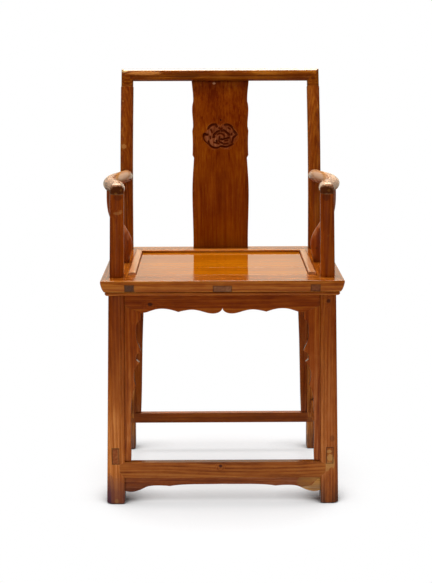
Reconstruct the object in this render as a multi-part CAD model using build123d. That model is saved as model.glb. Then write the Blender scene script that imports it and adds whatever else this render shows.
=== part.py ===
from build123d import *
import math
import os

# Southern official's-hat armchair. Millimetres, +Z up, the front faces -Y and +X is to the right of
# someone who looks at the front. The origin is on the floor, under the middle of the whole chair.

# --- Seat frame ---------------------------------------------------------------------------------
seat_width = 545.0
seat_depth = 438.0
seat_height = 540.0
frame_thickness = 36.5
front_rail_width = 68.0
side_rail_width = 75.0
rear_rail_width = 88.0
frame_tenon_offset = 0.5  # from the rail's inner edge
frame_tenon_width = 20.0
frame_tenon_depth = 10.0  # below the seat's surface
frame_tenon_thickness = 15.0

# Moulding of the frame's outer edge, as inset and share of the frame's thickness
arris_radius = 1.5
edge_flat_share = 0.140
edge_curve = [(1.4, 0.330), (2.9, 0.480), (5.0, 0.620), (7.8, 0.740)]
edge_step = (11.2, 0.772)
edge_bead = [(9.0, 0.812), (10.0, 0.915), (14.0, 1.0)]

# --- Seat boards, bearer and strips ---------------------------------------------------------------
board_thickness = 12.0
board_front_share = 0.307  # the front board's part of the opening
board_gap = 1.5
board_front_gap = 0.4
board_joint_gap = 0.4
board_tongue_thickness = 5.0
board_tongue_length = 8.0
joint_tongue_thickness = 4.0
joint_tongue_length = 6.0
batten_width = 41.0
batten_thickness = 22.0
batten_tenon_thickness = 15.0
strip_width = 16.0
strip_proud = 6.5
strip_rabbet = 4.0
strip_rounding = 3.0

# --- Posts ----------------------------------------------------------------------------------------
post_side_inset = 33.6  # from the seat's side to the post's axis at the seat
front_post_setback = 50.0
rear_post_setback = 27.0
front_splay = 0.0220  # outward run for each millimetre down
rear_splay = 0.0113
rear_backward_splay = 0.025
front_foot_size = 42.0
front_shoulder_size = 37.0
rear_foot_size = 36.0
rear_shoulder_size = 33.5
leg_outer_rounding = 12.0
leg_inner_rounding = 3.0
foot_rounding = 3.0
front_post_lower_diameter = 32.8
front_post_upper_diameter = 31.5
front_post_rise = 188.6  # from the seat to the joint with the arm
rear_post_diameter = 32.2
leg_groove_inset = 8.0
leg_groove_width = 1.6

# --- Back -----------------------------------------------------------------------------------------
overall_height = 990.0
crest_diameter = 30.4
crest_corner_rounding = 5.0
crest_joint_drop = 30.0  # from the crest's axis to the joint with the post
back_lean = 55.0
back_bend_share = 0.506  # where the bend's corner lies between seat and crest
back_bend_reach = 0.608  # part of the upper run that the bend takes
splat_thickness = 11.0
splat_offset = 8.5  # behind the posts' axes
splat_seat_tenon = 12.0
splat_crest_tenon = 10.0
splat_bead_inset = 4.0
splat_bead_width = 1.2
splat_bead_depth = 0.7

# Half widths of the splat by share of the height from seat to crest axis
splat_waist = [(70.5, -0.05), (71.0, 0.232), (70.9, 0.389), (68.6, 0.476), (67.0, 0.530)]
splat_step = [(67.0, 0.530), (70.6, 0.545)]
splat_middle = [(70.6, 0.545), (69.8, 0.614), (70.9, 0.683)]
splat_cusp = [(70.9, 0.683), (68.9, 0.706)]
splat_lobe = [(68.9, 0.706), (69.7, 0.752), (71.1, 0.800), (68.5, 0.849)]
splat_head = [(68.5, 0.849), (69.5, 0.906), (71.9, 0.957), (72.4, 1.010)]

# Recess behind the carved medallion, around its own centre
medallion_share = 0.653  # centre's share of the height from seat to crest axis
medallion_depth = 2.5
medallion_lobes = [
    [(0.0, 24.0), (19.0, 33.0), (33.0, 17.0)],
    [(33.0, 17.0), (44.5, 0.0), (34.0, -18.0)],
    [(34.0, -18.0), (20.0, -33.0), (0.0, -26.5)],
]

# --- Arms -----------------------------------------------------------------------------------------
arm_diameter = 31.0
arm_front_rise = 198.0  # axis above the seat
arm_rear_rise = 187.0
arm_bulge = 25.7  # outward from the arm's rear end
arm_corner_rounding = 13.0
arm_end_spare = 3.0  # run past the post's top, before the post is cut away
arm_rear_out = 1.3
arm_rear_straight = 0.085  # shares of the arm's length
arm_bulge_rear = 0.375
arm_bulge_front = 0.645
arm_front_straight = 0.890
arm_bend_shares = [0.33, 0.88, 0.55, 0.18]  # bend radii as shares of the arm's length
arm_elbow_reach = 20.0
round_tenon_diameter = 15.0
round_tenon_length = 13.0
arm_tenon_length = 14.0

# Struts under the arms: share of the height to the arm's axis, distance out from the posts, radius
support_setback = 224.0
support_profile = [
    (0.0, -7.0, 11.0),
    (0.104, -9.5, 12.0),
    (0.218, -12.0, 13.2),
    (0.337, -8.0, 13.2),
    (0.488, 7.8, 12.2),
    (0.607, 18.4, 11.2),
    (0.727, 23.0, 10.4),
    (0.856, 24.0, 9.8),
    (0.986, 24.2, 9.4),
]
support_tenon_diameter = 12.0
support_seat_tenon = 20.0
support_arm_tenon = 10.0

# --- Foot rails -----------------------------------------------------------------------------------
front_stretcher_bottom = 65.0
front_stretcher_height = 38.5
front_stretcher_depth = 16.0
shoulder_tip_reach = 11.6  # onto the leg's face
shoulder_tip_drop = 6.5  # of the blunt tip below the rail's top
shoulder_tip_rise = 14.0  # of the blunt tip above the rail's bottom
shoulder_thickness = 6.0
side_stretcher_bottom = 99.0
side_stretcher_height = 39.0
side_stretcher_width = 22.0
side_stretcher_offset = 1.5
rear_stretcher_bottom = 75.0
rear_stretcher_height = 26.0
rear_stretcher_depth = 16.0
rear_stretcher_shoulder = 5.0
stretcher_tenon_thickness = 13.0
stretcher_tenon_margin = 6.0
stretcher_tenon_length = 26.0

# --- Aprons and spandrels -------------------------------------------------------------------------
panel_thickness = 12.0
panel_setback = 4.0
panel_tongue_thickness = 5.0
panel_tongue_length = 5.0
foot_apron_setback = 7.0
mitre_rise = 18.0

# Front apron: drop below the seat frame by share of the half opening between the spandrels
front_apron_inner = [(0.0, 33.9), (0.022, 41.3), (0.054, 44.8), (0.127, 46.8), (0.249, 41.6),
                     (0.368, 37.5), (0.454, 39.1), (0.541, 42.8)]
front_apron_outer = [(0.541, 42.8), (0.622, 37.9), (0.719, 35.0), (0.838, 37.4), (0.935, 43.3),
                     (1.0, 44.3)]

# Front spandrels: width from the leg by share of the height above the foot rail
front_spandrel_corner = [(36.2, 1.0), (36.2, 0.959), (33.7, 0.952)]
front_spandrel_upper = [(33.7, 0.952), (27.0, 0.929), (24.6, 0.873), (25.6, 0.821), (31.0, 0.779),
                        (36.6, 0.743)]
front_spandrel_notch = [(36.6, 0.743), (27.6, 0.730), (23.6, 0.706)]
front_spandrel_hook = [(23.6, 0.706), (25.2, 0.686), (31.3, 0.673)]
front_spandrel_lower = [(31.3, 0.673), (20.6, 0.627), (17.8, 0.577), (22.0, 0.518)]
front_spandrel_run = [(22.0, 0.518), (13.4, 0.457), (10.4, 0.382), (8.9, 0.212), (7.8, 0.0)]

# Plain aprons and spandrels at the sides and the rear
plain_apron_edge = [(0.0, 36.0), (0.45, 37.0), (0.80, 41.0), (1.0, 46.0)]
plain_spandrel_edge = [(24.0, 1.0), (21.8, 0.72), (18.7, 0.54), (16.7, 0.354), (15.0, 0.2), (11.8, 0.0)]
plain_corner_width = 24.0

# Board under the front foot rail: drop below the rail by share of the half opening
foot_apron_edge = [(0.0, 18.2), (0.177, 18.6), (0.376, 19.2), (0.473, 20.8), (0.540, 23.0)]
foot_apron_lobe = [(0.540, 23.0), (0.589, 22.0), (0.655, 21.4), (0.721, 22.0), (0.774, 24.3),
                   (0.827, 30.0), (0.872, 34.2), (1.0, 34.4)]

# Repair let into the foot apron's right end: share of the half opening, drop below the rail
patch_outline = [(0.98, 3.0), (1.10, 3.0), (1.10, 40.0), (0.80, 40.0), (0.79, 27.0), (0.91, 22.0)]

# --- Pegs and clearances --------------------------------------------------------------------------
peg_diameter = 6.0
peg_top_cover = 5.0
tenon_clearance = 0.1
round_clearance = 0.15

# --- Derived places -------------------------------------------------------------------------------
half_width = seat_width / 2
frame_bottom = seat_height - frame_thickness
crest_height = overall_height - crest_diameter / 2
crest_setback = seat_depth - rear_post_setback + back_lean
front_edge = -(crest_setback + crest_diameter / 2) / 2
rear_edge = front_edge + seat_depth
seat_middle = front_edge + seat_depth / 2
inner_half_width = half_width - side_rail_width
inner_front = front_edge + front_rail_width
inner_rear = rear_edge - rear_rail_width
post_x_at_seat = half_width - post_side_inset
front_post_y = front_edge + front_post_setback
rear_post_y_at_seat = rear_edge - rear_post_setback
crest_y = front_edge + crest_setback
back_height = crest_height - seat_height
board_bottom = seat_height - board_thickness
foot_rail_top = front_stretcher_bottom + front_stretcher_height
side_rail_top = side_stretcher_bottom + side_stretcher_height
rear_rail_top = rear_stretcher_bottom + rear_stretcher_height
front_post_top = seat_height + front_post_rise
arm_front_height = seat_height + arm_front_rise
arm_rear_height = seat_height + arm_rear_rise
medallion_height = seat_height + medallion_share * back_height


def front_axis(z):
    """Point of the right front post's axis at a height."""
    return Vector(post_x_at_seat + front_splay * (seat_height - z), front_post_y, z)


def rear_axis(z):
    """Point of the right rear post's straight lower axis at a height."""
    run = seat_height - z
    return Vector(post_x_at_seat + rear_splay * run, rear_post_y_at_seat + rear_backward_splay * run, z)


def leg_size(z, foot, shoulder):
    """Width of a tapering leg at a height."""
    return foot + (shoulder - foot) * z / frame_bottom


def front_leg_inner(z):
    """X of the right front leg's inner face at a height."""
    return front_axis(z).X - leg_size(z, front_foot_size, front_shoulder_size) / 2


def front_leg_face(z):
    """Y of the front legs' front faces at a height."""
    return front_post_y - leg_size(z, front_foot_size, front_shoulder_size) / 2


# --- Shape helpers --------------------------------------------------------------------------------
def block(x_range, y_range, z_range):
    """Box between limits along the three axes."""
    ranges = (x_range, y_range, z_range)
    middle = [(low + high) / 2 for low, high in ranges]
    size = [high - low for low, high in ranges]
    return Pos(*middle) * Box(*size)


def rod(start, end, radius):
    """Round bar between two points."""
    axis = Vector(end) - Vector(start)
    return extrude(Plane(origin=start, z_dir=axis) * Circle(radius), axis.length)


def bar(start, end, width, height, across):
    """Rectangular bar between two points, its width measured along the across direction."""
    axis = Vector(end) - Vector(start)
    plane = Plane(origin=start, x_dir=across, z_dir=axis)
    return extrude(plane * Rectangle(width, height), axis.length)


def flat_shape(points):
    """Face with straight edges through the points."""
    return make_face(Polyline(*points, close=True))


def plan_prism(points, z_range):
    """Vertical prism over a plan outline."""
    return extrude(Pos(0, 0, z_range[0]) * flat_shape(points), z_range[1] - z_range[0])


def curved_edges(runs):
    """Edges through runs of points: a line for two, an arc for three and a spline for more."""
    makers = {2: Line, 3: ThreePointArc}
    return [makers.get(len(run), Spline)(*run) for run in runs]


def mirrored(part):
    """The piece's twin on the left."""
    return mirror(part, about=Plane.YZ)


def merged(first, *others):
    """One clean solid from touching or overlapping solids."""
    result = first
    for other in others:
        result = result + other
    return result.clean()


# --- Seat frame -----------------------------------------------------------------------------------
def moulded_section(half_span):
    """Section across the seat frame, moulded at both ends."""
    top = seat_height

    def at(inset, depth):
        return (half_span - inset, top - depth)

    def cut_at(inset, share):
        return at(inset, share * frame_thickness)

    bend = arris_radius * (1 - math.sqrt(0.5))
    flat_end = cut_at(0, edge_flat_share)
    side = [
        ThreePointArc(at(arris_radius, 0), at(bend, bend), at(0, arris_radius)),
        Line(at(0, arris_radius), flat_end),
        Spline(flat_end, *[cut_at(*point) for point in edge_curve]),
        Line(cut_at(*edge_curve[-1]), cut_at(*edge_step)),
        Line(cut_at(*edge_step), cut_at(*edge_bead[0])),
        ThreePointArc(*[cut_at(*point) for point in edge_bead]),
    ]
    other_side = [mirror(edge, about=Plane.YZ) for edge in side]
    top_edge = Line(at(arris_radius, 0), (arris_radius - half_span, top))
    bottom_inset = edge_bead[-1][0]
    bottom_edge = Line((half_span - bottom_inset, frame_bottom), (bottom_inset - half_span, frame_bottom))
    return make_face(Curve() + side + other_side + [top_edge, bottom_edge])


def frame_slab():
    """The seat frame's outer form as one moulded slab."""
    across = extrude(Plane.XZ * moulded_section(half_width), seat_depth, both=True)
    along_plane = Plane(origin=(0, seat_middle, 0), x_dir=(0, 1, 0), z_dir=(1, 0, 0))
    along = extrude(along_plane * moulded_section(seat_depth / 2), seat_width, both=True)
    return across & along


def rail_outlines():
    """Plan outlines of the front, rear and right rails between their mitres."""
    moulding = edge_bead[-1][0]
    front_mitre = [
        (half_width, front_edge),
        (half_width - moulding, front_edge + moulding),
        (inner_half_width, inner_front),
    ]
    rear_mitre = [
        (half_width, rear_edge),
        (half_width - moulding, rear_edge - moulding),
        (inner_half_width, inner_rear),
    ]

    def flipped(points):
        return [(-x, y) for x, y in reversed(points)]

    front = front_mitre + flipped(front_mitre)
    rear = rear_mitre + flipped(rear_mitre)
    right = front_mitre + rear_mitre[::-1]
    return front, rear, right


def frame_tenon(clearance):
    """Right rail's tenons through the front and rear rails, as one long bar."""
    start = inner_half_width + frame_tenon_offset
    top = seat_height - frame_tenon_depth
    return block(
        (start - clearance, start + frame_tenon_width + clearance),
        (front_edge - clearance, rear_edge + clearance),
        (top - frame_tenon_thickness - clearance, top + clearance),
    )


def batten_tenon(clearance):
    """The bearer's tenons through the front and rear rails, as one long bar."""
    half = batten_width / 2 + clearance
    return block(
        (-half, half),
        (front_edge - clearance, rear_edge + clearance),
        (board_bottom - batten_tenon_thickness - clearance, board_bottom + clearance),
    )


def board_tongues(clearance):
    """Plate whose rim is the boards' tongue in the rails' grooves."""
    reach = board_tongue_length + clearance
    return block(
        (-inner_half_width - reach, inner_half_width + reach),
        (inner_front - reach, inner_rear + reach),
        (board_bottom - clearance, board_bottom + board_tongue_thickness + clearance),
    )


def strip_bar(half_span):
    """Section across a pair of strips, rounded on top."""
    height = strip_rabbet + strip_proud
    bottom = seat_height - strip_rabbet
    strip = Pos(half_span + strip_width / 2, bottom + height / 2) * Rectangle(strip_width, height)
    strip = fillet(strip.vertices().group_by(Axis.Y)[-1], strip_rounding)
    return Sketch() + [strip, mirror(strip, about=Plane.YZ)]


def strip_outlines():
    """Plan outlines of the rear and right strips between their mitres."""
    outer_x = inner_half_width + strip_width
    outer_y = inner_rear + strip_width
    inner = (inner_half_width, inner_rear)
    outer = (outer_x, outer_y)
    rear = [(-outer_x, outer_y), (-inner_half_width, inner_rear), inner, outer]
    right = [(inner_half_width, inner_front), (outer_x, inner_front), outer, inner]
    return rear, right


def strip_seats():
    """Rabbets for the strips, over the boards' opening too."""
    outer = inner_half_width + strip_width + tenon_clearance
    floor = seat_height - strip_rabbet
    return block((-outer, outer), (inner_front, inner_rear + strip_width + tenon_clearance),
                 (floor, seat_height + strip_proud))


def seat_strips():
    """The three raised strips."""
    across = extrude(Plane.XZ * strip_bar(inner_half_width), seat_depth, both=True)
    half_opening = (inner_rear - inner_front) / 2
    middle = (inner_rear + inner_front) / 2
    along_plane = Plane(origin=(0, middle, 0), x_dir=(0, 1, 0), z_dir=(1, 0, 0))
    along = extrude(along_plane * strip_bar(half_opening), seat_width, both=True)
    rear_outline, right_outline = strip_outlines()
    z_range = (frame_bottom, seat_height + 2 * strip_proud)
    return {
        "seat_strip_rear": along & plan_prism(rear_outline, z_range),
        "seat_strip_right": across & plan_prism(right_outline, z_range),
    }


def frame_pegs(clearance):
    """Pegs that lock the frame's and the bearer's tenons, driven up from below."""
    radius = peg_diameter / 2 + clearance
    top = seat_height - frame_tenon_depth - peg_top_cover + clearance
    side = inner_half_width + frame_tenon_offset + frame_tenon_width / 2
    rows = (front_edge + front_rail_width / 2, rear_edge - rear_rail_width / 2)
    return [rod((x, y, frame_bottom), (x, y, top), radius) for x in (-side, 0, side) for y in rows]


def seat_boards():
    """The two floating boards, with a tongue between them."""
    opening = inner_rear - inner_front
    joint = inner_front + opening * board_front_share
    side = inner_half_width - board_gap
    z_range = (board_bottom, seat_height)
    tongue_z = board_bottom + board_thickness / 2
    joint_z = (tongue_z - joint_tongue_thickness / 2, tongue_z + joint_tongue_thickness / 2)
    groove_z = (joint_z[0] - tenon_clearance, joint_z[1] + tenon_clearance)
    tongue_end = joint + joint_tongue_length
    rim = board_tongues(0)
    front = block((-side, side), (inner_front + board_front_gap, joint), z_range)
    front_rim = rim & block((-half_width, half_width), (front_edge, joint), z_range)
    tongue = block((-side, side), (joint, tongue_end), joint_z)
    rear_start = joint + board_joint_gap
    rear = block((-side, side), (rear_start, inner_rear - board_gap), z_range)
    rear_rim = rim & block((-half_width, half_width), (rear_start, rear_edge), z_range)
    groove = block((-side, side), (joint, tongue_end + board_joint_gap), groove_z)
    return {
        "seat_board_front": merged(front, front_rim, tongue),
        "seat_board_rear": merged(rear, rear_rim) - groove,
    }


# --- Posts ----------------------------------------------------------------------------------------
def leg_section(size, centre):
    """Square leg section at a point, its outer corners rounded the most."""
    section = Rectangle(size, size)
    section = fillet(section.vertices().group_by(Axis.X)[-1], leg_outer_rounding)
    section = fillet(section.vertices().group_by(Axis.X)[0], leg_inner_rounding)
    return Pos(centre.X, centre.Y, centre.Z) * section


def leg(axis_at, foot, shoulder):
    """Tapering leg from the floor to the seat frame's underside."""
    levels = [(foot - 2 * foot_rounding, 0), (foot, foot_rounding), (shoulder, frame_bottom)]
    return loft([leg_section(size, axis_at(z)) for size, z in levels], ruled=True)


def front_upper(clearance):
    """Right arm post above its shoulder."""
    lower = front_axis(frame_bottom)
    upper = front_axis(front_post_top)
    lower_face = Pos(*lower) * Circle(front_post_lower_diameter / 2 + clearance)
    upper_face = Pos(*upper) * Circle(front_post_upper_diameter / 2 + clearance)
    return loft([lower_face, upper_face], ruled=True)


def top_tenon(start, direction, clearance):
    """Round tenon on a post's end."""
    end = start + direction.normalized() * (round_tenon_length + clearance)
    return rod(start, end, round_tenon_diameter / 2 + clearance)


def front_leg_grooves():
    """Scribed line along the inner edge of the right front leg's face."""
    def at(z):
        return Vector(front_leg_inner(z) + leg_groove_inset, front_leg_face(z), z)

    start = at(foot_rail_top)
    end = at(frame_bottom)
    side = leg_groove_width / math.sqrt(2)
    return bar(start, end, side, side, (1, 1, 0))


def back_points(offset):
    """Line of the back in side view, as its lower end, its bend's corner and its upper end."""
    bend_z = seat_height + back_bend_share * back_height
    bottom = rear_axis(frame_bottom) + Vector(0, offset, 0)
    corner = rear_axis(bend_z) + Vector(0, offset, 0)
    top = Vector(rear_axis(crest_height).X, crest_y + offset, crest_height)
    return bottom, corner, top


def back_bend():
    """Radius of the back's bend and the distance from its corner to its ends."""
    bottom, corner, top = back_points(0)
    turn = math.radians((corner - bottom).get_angle(top - corner))
    reach = back_bend_reach * (top - corner).length
    return reach / math.tan(turn / 2), reach


def back_end():
    """Point where the right back post meets the crest rail."""
    _, corner, top = back_points(0)
    return top - back_direction() * (crest_joint_drop / back_direction().Z)


def back_direction():
    """Direction of the back posts' upper ends."""
    _, corner, top = back_points(0)
    return (top - corner).normalized()


def back_at(z):
    """Point of the right back post's axis at a height within the bend or below it."""
    bottom, corner, _ = back_points(0)
    radius, reach = back_bend()
    up = (corner - bottom).normalized()
    start = corner - up * reach
    if z < start.Z:
        return rear_axis(z)
    centre_y = start.Y + radius * up.Z
    centre_z = start.Z - radius * up.Y
    return Vector(rear_axis(z).X, centre_y - math.sqrt(radius**2 - (z - centre_z) ** 2), z)


def rear_upper(clearance):
    """Right back post above its shoulder, with its bend."""
    bottom, corner, _ = back_points(0)
    start = bottom - (corner - bottom).normalized() * rear_post_diameter
    path = FilletPolyline(start, corner, back_end(), radius=back_bend()[0])
    face = Plane(origin=start, z_dir=corner - bottom) * Circle(rear_post_diameter / 2 + clearance)
    above = block((0, seat_width), (front_edge, rear_edge + back_lean), (frame_bottom, overall_height))
    return sweep(face, path) & above


# --- Turned corners -------------------------------------------------------------------------------
def turned_corner(corner, reach_a, reach_b, radius, rounding):
    """Two round bars from a mitred corner, the corner rounded on its outside."""
    along_a = (reach_a - corner).normalized()
    along_b = (reach_b - corner).normalized()
    spare = 3 * radius
    mitre = Plane(origin=corner, z_dir=along_a - along_b)
    bar_a = split(rod(corner - along_a * spare, reach_a, radius), bisect_by=mitre, keep=Keep.TOP)
    bar_b = split(rod(corner - along_b * spare, reach_b, radius), bisect_by=mitre, keep=Keep.BOTTOM)
    joined = bar_a + bar_b
    outward = (along_a + along_b) * -1
    plane = Plane(origin=corner, x_dir=outward, z_dir=along_a.cross(along_b))
    half_angle = math.radians(along_a.get_angle(along_b)) / 2
    sine = math.sin(half_angle)
    cosine = math.cos(half_angle)
    centre = (radius - rounding) / sine
    tangent = (centre + rounding * sine, rounding * cosine)
    outer = (tangent[0] + spare * sine, tangent[1] + spare * cosine)
    tip = (radius + spare) / sine
    wedge = flat_shape([(centre, 0), tangent, outer, (tip, 0), (outer[0], -outer[1]),
                        (tangent[0], -tangent[1])])
    wedge = wedge - Pos(centre, 0) * Circle(rounding)
    return joined - extrude(plane * wedge, 2 * radius, both=True)


# --- Crest rail and splat ---------------------------------------------------------------------------
def crest_rail():
    """Top rail with its two ends turned down over the back posts."""
    top = back_points(0)[2]
    end = back_end()
    half = turned_corner(top, Vector(0, top.Y, top.Z), end, crest_diameter / 2, crest_corner_rounding)
    half = half - top_tenon(end, back_direction(), round_clearance)
    rail = merged(half, mirrored(half))
    return rail - splat_body(splat_crest_tenon + tenon_clearance, tenon_clearance)


def splat_outline(inset):
    """Front view of the splat, moved in from its edge by an inset."""
    runs = [splat_waist, splat_step, splat_middle, splat_cusp, splat_lobe, splat_head]

    def at(point, side):
        return (side * (point[0] - inset), seat_height + point[1] * back_height)

    right = curved_edges([[at(point, 1) for point in run] for run in runs])
    left = curved_edges([[at(point, -1) for point in run] for run in runs])
    bottom = Line(at(splat_waist[0], 1), at(splat_waist[0], -1))
    top = Line(at(splat_head[-1], 1), at(splat_head[-1], -1))
    return make_face(Curve() + right + left + [bottom, top])


def splat_band(thickness, offset):
    """Curved sheet that follows the back, as wide as the seat."""
    points = [Vector(0, point.Y, point.Z) for point in back_points(splat_offset + offset)]
    path = FilletPolyline(*points, radius=back_bend()[0])
    plane = Plane(origin=points[0], x_dir=(1, 0, 0), z_dir=points[1] - points[0])
    return sweep(plane * Rectangle(seat_width, thickness), path)


def facing_prism(face):
    """Front-view face made a prism through the whole depth of the back."""
    return extrude(Plane.XZ * face, seat_depth + 2 * back_lean, both=True)


def splat_body(crest_tenon, clearance):
    """The splat's curved and outlined board, with its ends in seat and crest."""
    top = crest_height - crest_diameter / 2 + crest_tenon
    bottom = seat_height - splat_seat_tenon - clearance
    band = splat_band(splat_thickness + 2 * clearance, 0)
    band = band & block((-half_width, half_width), (front_edge, rear_edge + 2 * back_lean), (bottom, top))
    return band & facing_prism(splat_outline(-clearance))


def medallion_outline():
    """Lobed outline of the medallion, with its notch at the top."""
    def at(point, side):
        return (side * point[0], medallion_height + point[1])

    right = curved_edges([[at(point, 1) for point in run] for run in medallion_lobes])
    left = curved_edges([[at(point, -1) for point in run] for run in medallion_lobes])
    return make_face(Curve() + right + left)


def back_splat():
    """Splat with its bead line and the medallion's recess."""
    body = splat_body(splat_crest_tenon, 0)
    recess = facing_prism(medallion_outline())
    recess = recess - splat_band(splat_thickness, medallion_depth)
    body = body - (recess & splat_band(splat_thickness + 1, 0))
    ring = splat_outline(splat_bead_inset) - splat_outline(splat_bead_inset + splat_bead_width)
    line = facing_prism(ring) - splat_band(splat_thickness, splat_bead_depth)
    line = line & splat_band(splat_thickness + 1, 0)
    line = line & block((-half_width, half_width), (front_edge, crest_y + back_lean),
                        (seat_height, crest_height - crest_diameter / 2))
    return body - line


# --- Arms -------------------------------------------------------------------------------------------
def arm_length():
    """Distance from the front post's axis to the back post's at the arms."""
    return back_at(arm_rear_height).Y - front_post_y


def arm_point(out, share):
    """Point of the right arm's axis, by its distance out and its share of the way to the front."""
    rear = back_at(arm_rear_height)
    drop = (arm_front_height - arm_rear_height) * share
    return Vector(rear.X + out, rear.Y - arm_length() * share, rear.Z + drop)


def arm_solid():
    """Right arm's full form, from the back post's axis to its turned-down front."""
    front = front_axis(arm_front_height)
    front_out = front.X - back_at(arm_rear_height).X
    elbow = arm_point(front_out, 1 - arm_elbow_reach / arm_length())
    points = [
        arm_point(0, 0),
        arm_point(arm_rear_out, arm_rear_straight),
        arm_point(arm_bulge, arm_bulge_rear),
        arm_point(arm_bulge, arm_bulge_front),
        arm_point(front_out, arm_front_straight),
        elbow,
    ]
    path = FilletPolyline(*points, radius=[share * arm_length() for share in arm_bend_shares])
    face = Plane(origin=points[0], z_dir=points[1] - points[0]) * Circle(arm_diameter / 2)
    below = front_axis(front_post_top - arm_end_spare)
    corner = turned_corner(front, elbow, below, arm_diameter / 2, arm_corner_rounding)
    return merged(sweep(face, path), corner)


def arm_tenon(clearance):
    """Right arm's round tenon in the back post."""
    start = arm_point(0, 0)
    along = (start - arm_point(arm_rear_out, arm_rear_straight)).normalized()
    shoulder = start - along * rear_post_diameter
    reach = start + along * (arm_tenon_length - rear_post_diameter / 2 + clearance)
    return rod(shoulder, reach, round_tenon_diameter / 2 + clearance)


def support_middle():
    """Y of the struts and the height of the arms' axes over them."""
    y = front_edge + support_setback
    share = (back_at(arm_rear_height).Y - y) / arm_length()
    return y, arm_point(0, share).Z


def arm_support():
    """Right strut between the side rail and the arm."""
    y, arm_z = support_middle()
    rise = arm_z - seat_height
    sections = [
        Pos(post_x_at_seat + out, y, seat_height + share * rise) * Circle(radius)
        for share, out, radius in support_profile
    ]
    return loft(sections)


def support_tenons(clearance):
    """Round tenons at the foot and the head of the right strut."""
    radius = support_tenon_diameter / 2 + clearance
    y, arm_z = support_middle()
    base = Vector(post_x_at_seat + support_profile[0][1], y, seat_height)
    head = Vector(post_x_at_seat + support_profile[-1][1], y, arm_z - arm_diameter / 2)
    foot = rod(base - Vector(0, 0, support_seat_tenon + clearance), base + Vector(0, 0, 1), radius)
    top = rod(head - Vector(0, 0, 2), head + Vector(0, 0, support_arm_tenon + clearance), radius)
    return foot, top


# --- Foot rails -------------------------------------------------------------------------------------
def front_stretcher_parts(clearance, proud):
    """Front foot rail's right shoulder and tenon, the shoulder standing proud of the leg's face."""
    bottom = front_stretcher_bottom
    middle = bottom + front_stretcher_height / 2
    face = front_leg_face(middle)
    inner = front_leg_inner(middle)
    tip = inner + shoulder_tip_reach
    start = inner - leg_groove_inset
    outline = flat_shape([(start, bottom), (inner, bottom), (tip, bottom + shoulder_tip_rise),
                          (tip, foot_rail_top - shoulder_tip_drop), (inner, foot_rail_top),
                          (start, foot_rail_top)])
    back = Plane(origin=(0, face + shoulder_thickness, 0), x_dir=(1, 0, 0), z_dir=(0, -1, 0))
    shoulder = extrude(back * outline, shoulder_thickness + proud)
    tenon = block((start, inner + stretcher_tenon_length + clearance),
                  (face + shoulder_thickness - clearance, face + front_stretcher_depth + clearance),
                  (bottom + stretcher_tenon_margin - clearance,
                   foot_rail_top - stretcher_tenon_margin + clearance))
    return shoulder, tenon


def front_stretcher(leg_pair):
    """Front foot rail, flush with the leg faces."""
    middle = front_stretcher_bottom + front_stretcher_height / 2
    face = front_leg_face(middle)
    reach = front_leg_inner(front_stretcher_bottom)
    body = block((-reach, reach), (face, face + front_stretcher_depth),
                 (front_stretcher_bottom, foot_rail_top))
    for one in leg_pair:
        body = body - one
    shoulder, tenon = front_stretcher_parts(0, 0)
    return merged(body, shoulder, tenon, mirrored(shoulder), mirrored(tenon))


def side_stretcher_ends():
    """Ends of the right foot rail's tenons, on the outer faces of the two right legs."""
    z = side_stretcher_bottom + side_stretcher_height / 2
    front = front_axis(z) + Vector(side_stretcher_offset, 0, 0)
    rear = rear_axis(z) + Vector(side_stretcher_offset, 0, 0)
    front_end = Vector(front.X, front_leg_face(z), z)
    rear_end = Vector(rear.X, rear.Y + leg_size(z, rear_foot_size, rear_shoulder_size) / 2, z)
    return front_end, rear_end


def side_stretcher_tenon(clearance, proud):
    """Right foot rail's tenons through both legs, as one long bar, its ends proud of the legs."""
    front_end, rear_end = side_stretcher_ends()
    size = (stretcher_tenon_thickness + 2 * clearance, side_stretcher_height + 2 * clearance)
    along = (rear_end - front_end).normalized() * proud
    return bar(front_end - along, rear_end + along, *size, (1, 0, 0))


def side_stretcher(front_leg, rear_leg):
    """Right foot rail."""
    front_end, rear_end = side_stretcher_ends()
    body = bar(front_end, rear_end, side_stretcher_width, side_stretcher_height, (1, 0, 0))
    middle = body - front_leg - rear_leg
    middle = middle.solids().sort_by(SortBy.VOLUME)[-1]
    return merged(middle, side_stretcher_tenon(0, 0))


def rear_stretcher_tenon(clearance):
    """Rear foot rail's tenon in the right leg."""
    middle = rear_stretcher_bottom + rear_stretcher_height / 2
    centre = rear_axis(middle)
    inner = centre.X - leg_size(middle, rear_foot_size, rear_shoulder_size) / 2
    face = centre.Y - leg_size(middle, rear_foot_size, rear_shoulder_size) / 2
    return block((inner - 1, inner + stretcher_tenon_length + clearance),
                 (face + rear_stretcher_shoulder - clearance, face + rear_stretcher_depth + clearance),
                 (rear_stretcher_bottom - clearance, rear_rail_top - stretcher_tenon_margin + clearance))


def rear_stretcher(leg_pair):
    """Rear foot rail, set flush with the legs' front faces."""
    middle = rear_stretcher_bottom + rear_stretcher_height / 2
    centre = rear_axis(middle)
    face = centre.Y - leg_size(middle, rear_foot_size, rear_shoulder_size) / 2
    body = block((-centre.X, centre.X), (face, face + rear_stretcher_depth),
                 (rear_stretcher_bottom, rear_rail_top))
    for one in leg_pair:
        body = body - one
    tenon = rear_stretcher_tenon(0)
    return merged(body, tenon, mirrored(tenon))


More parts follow.
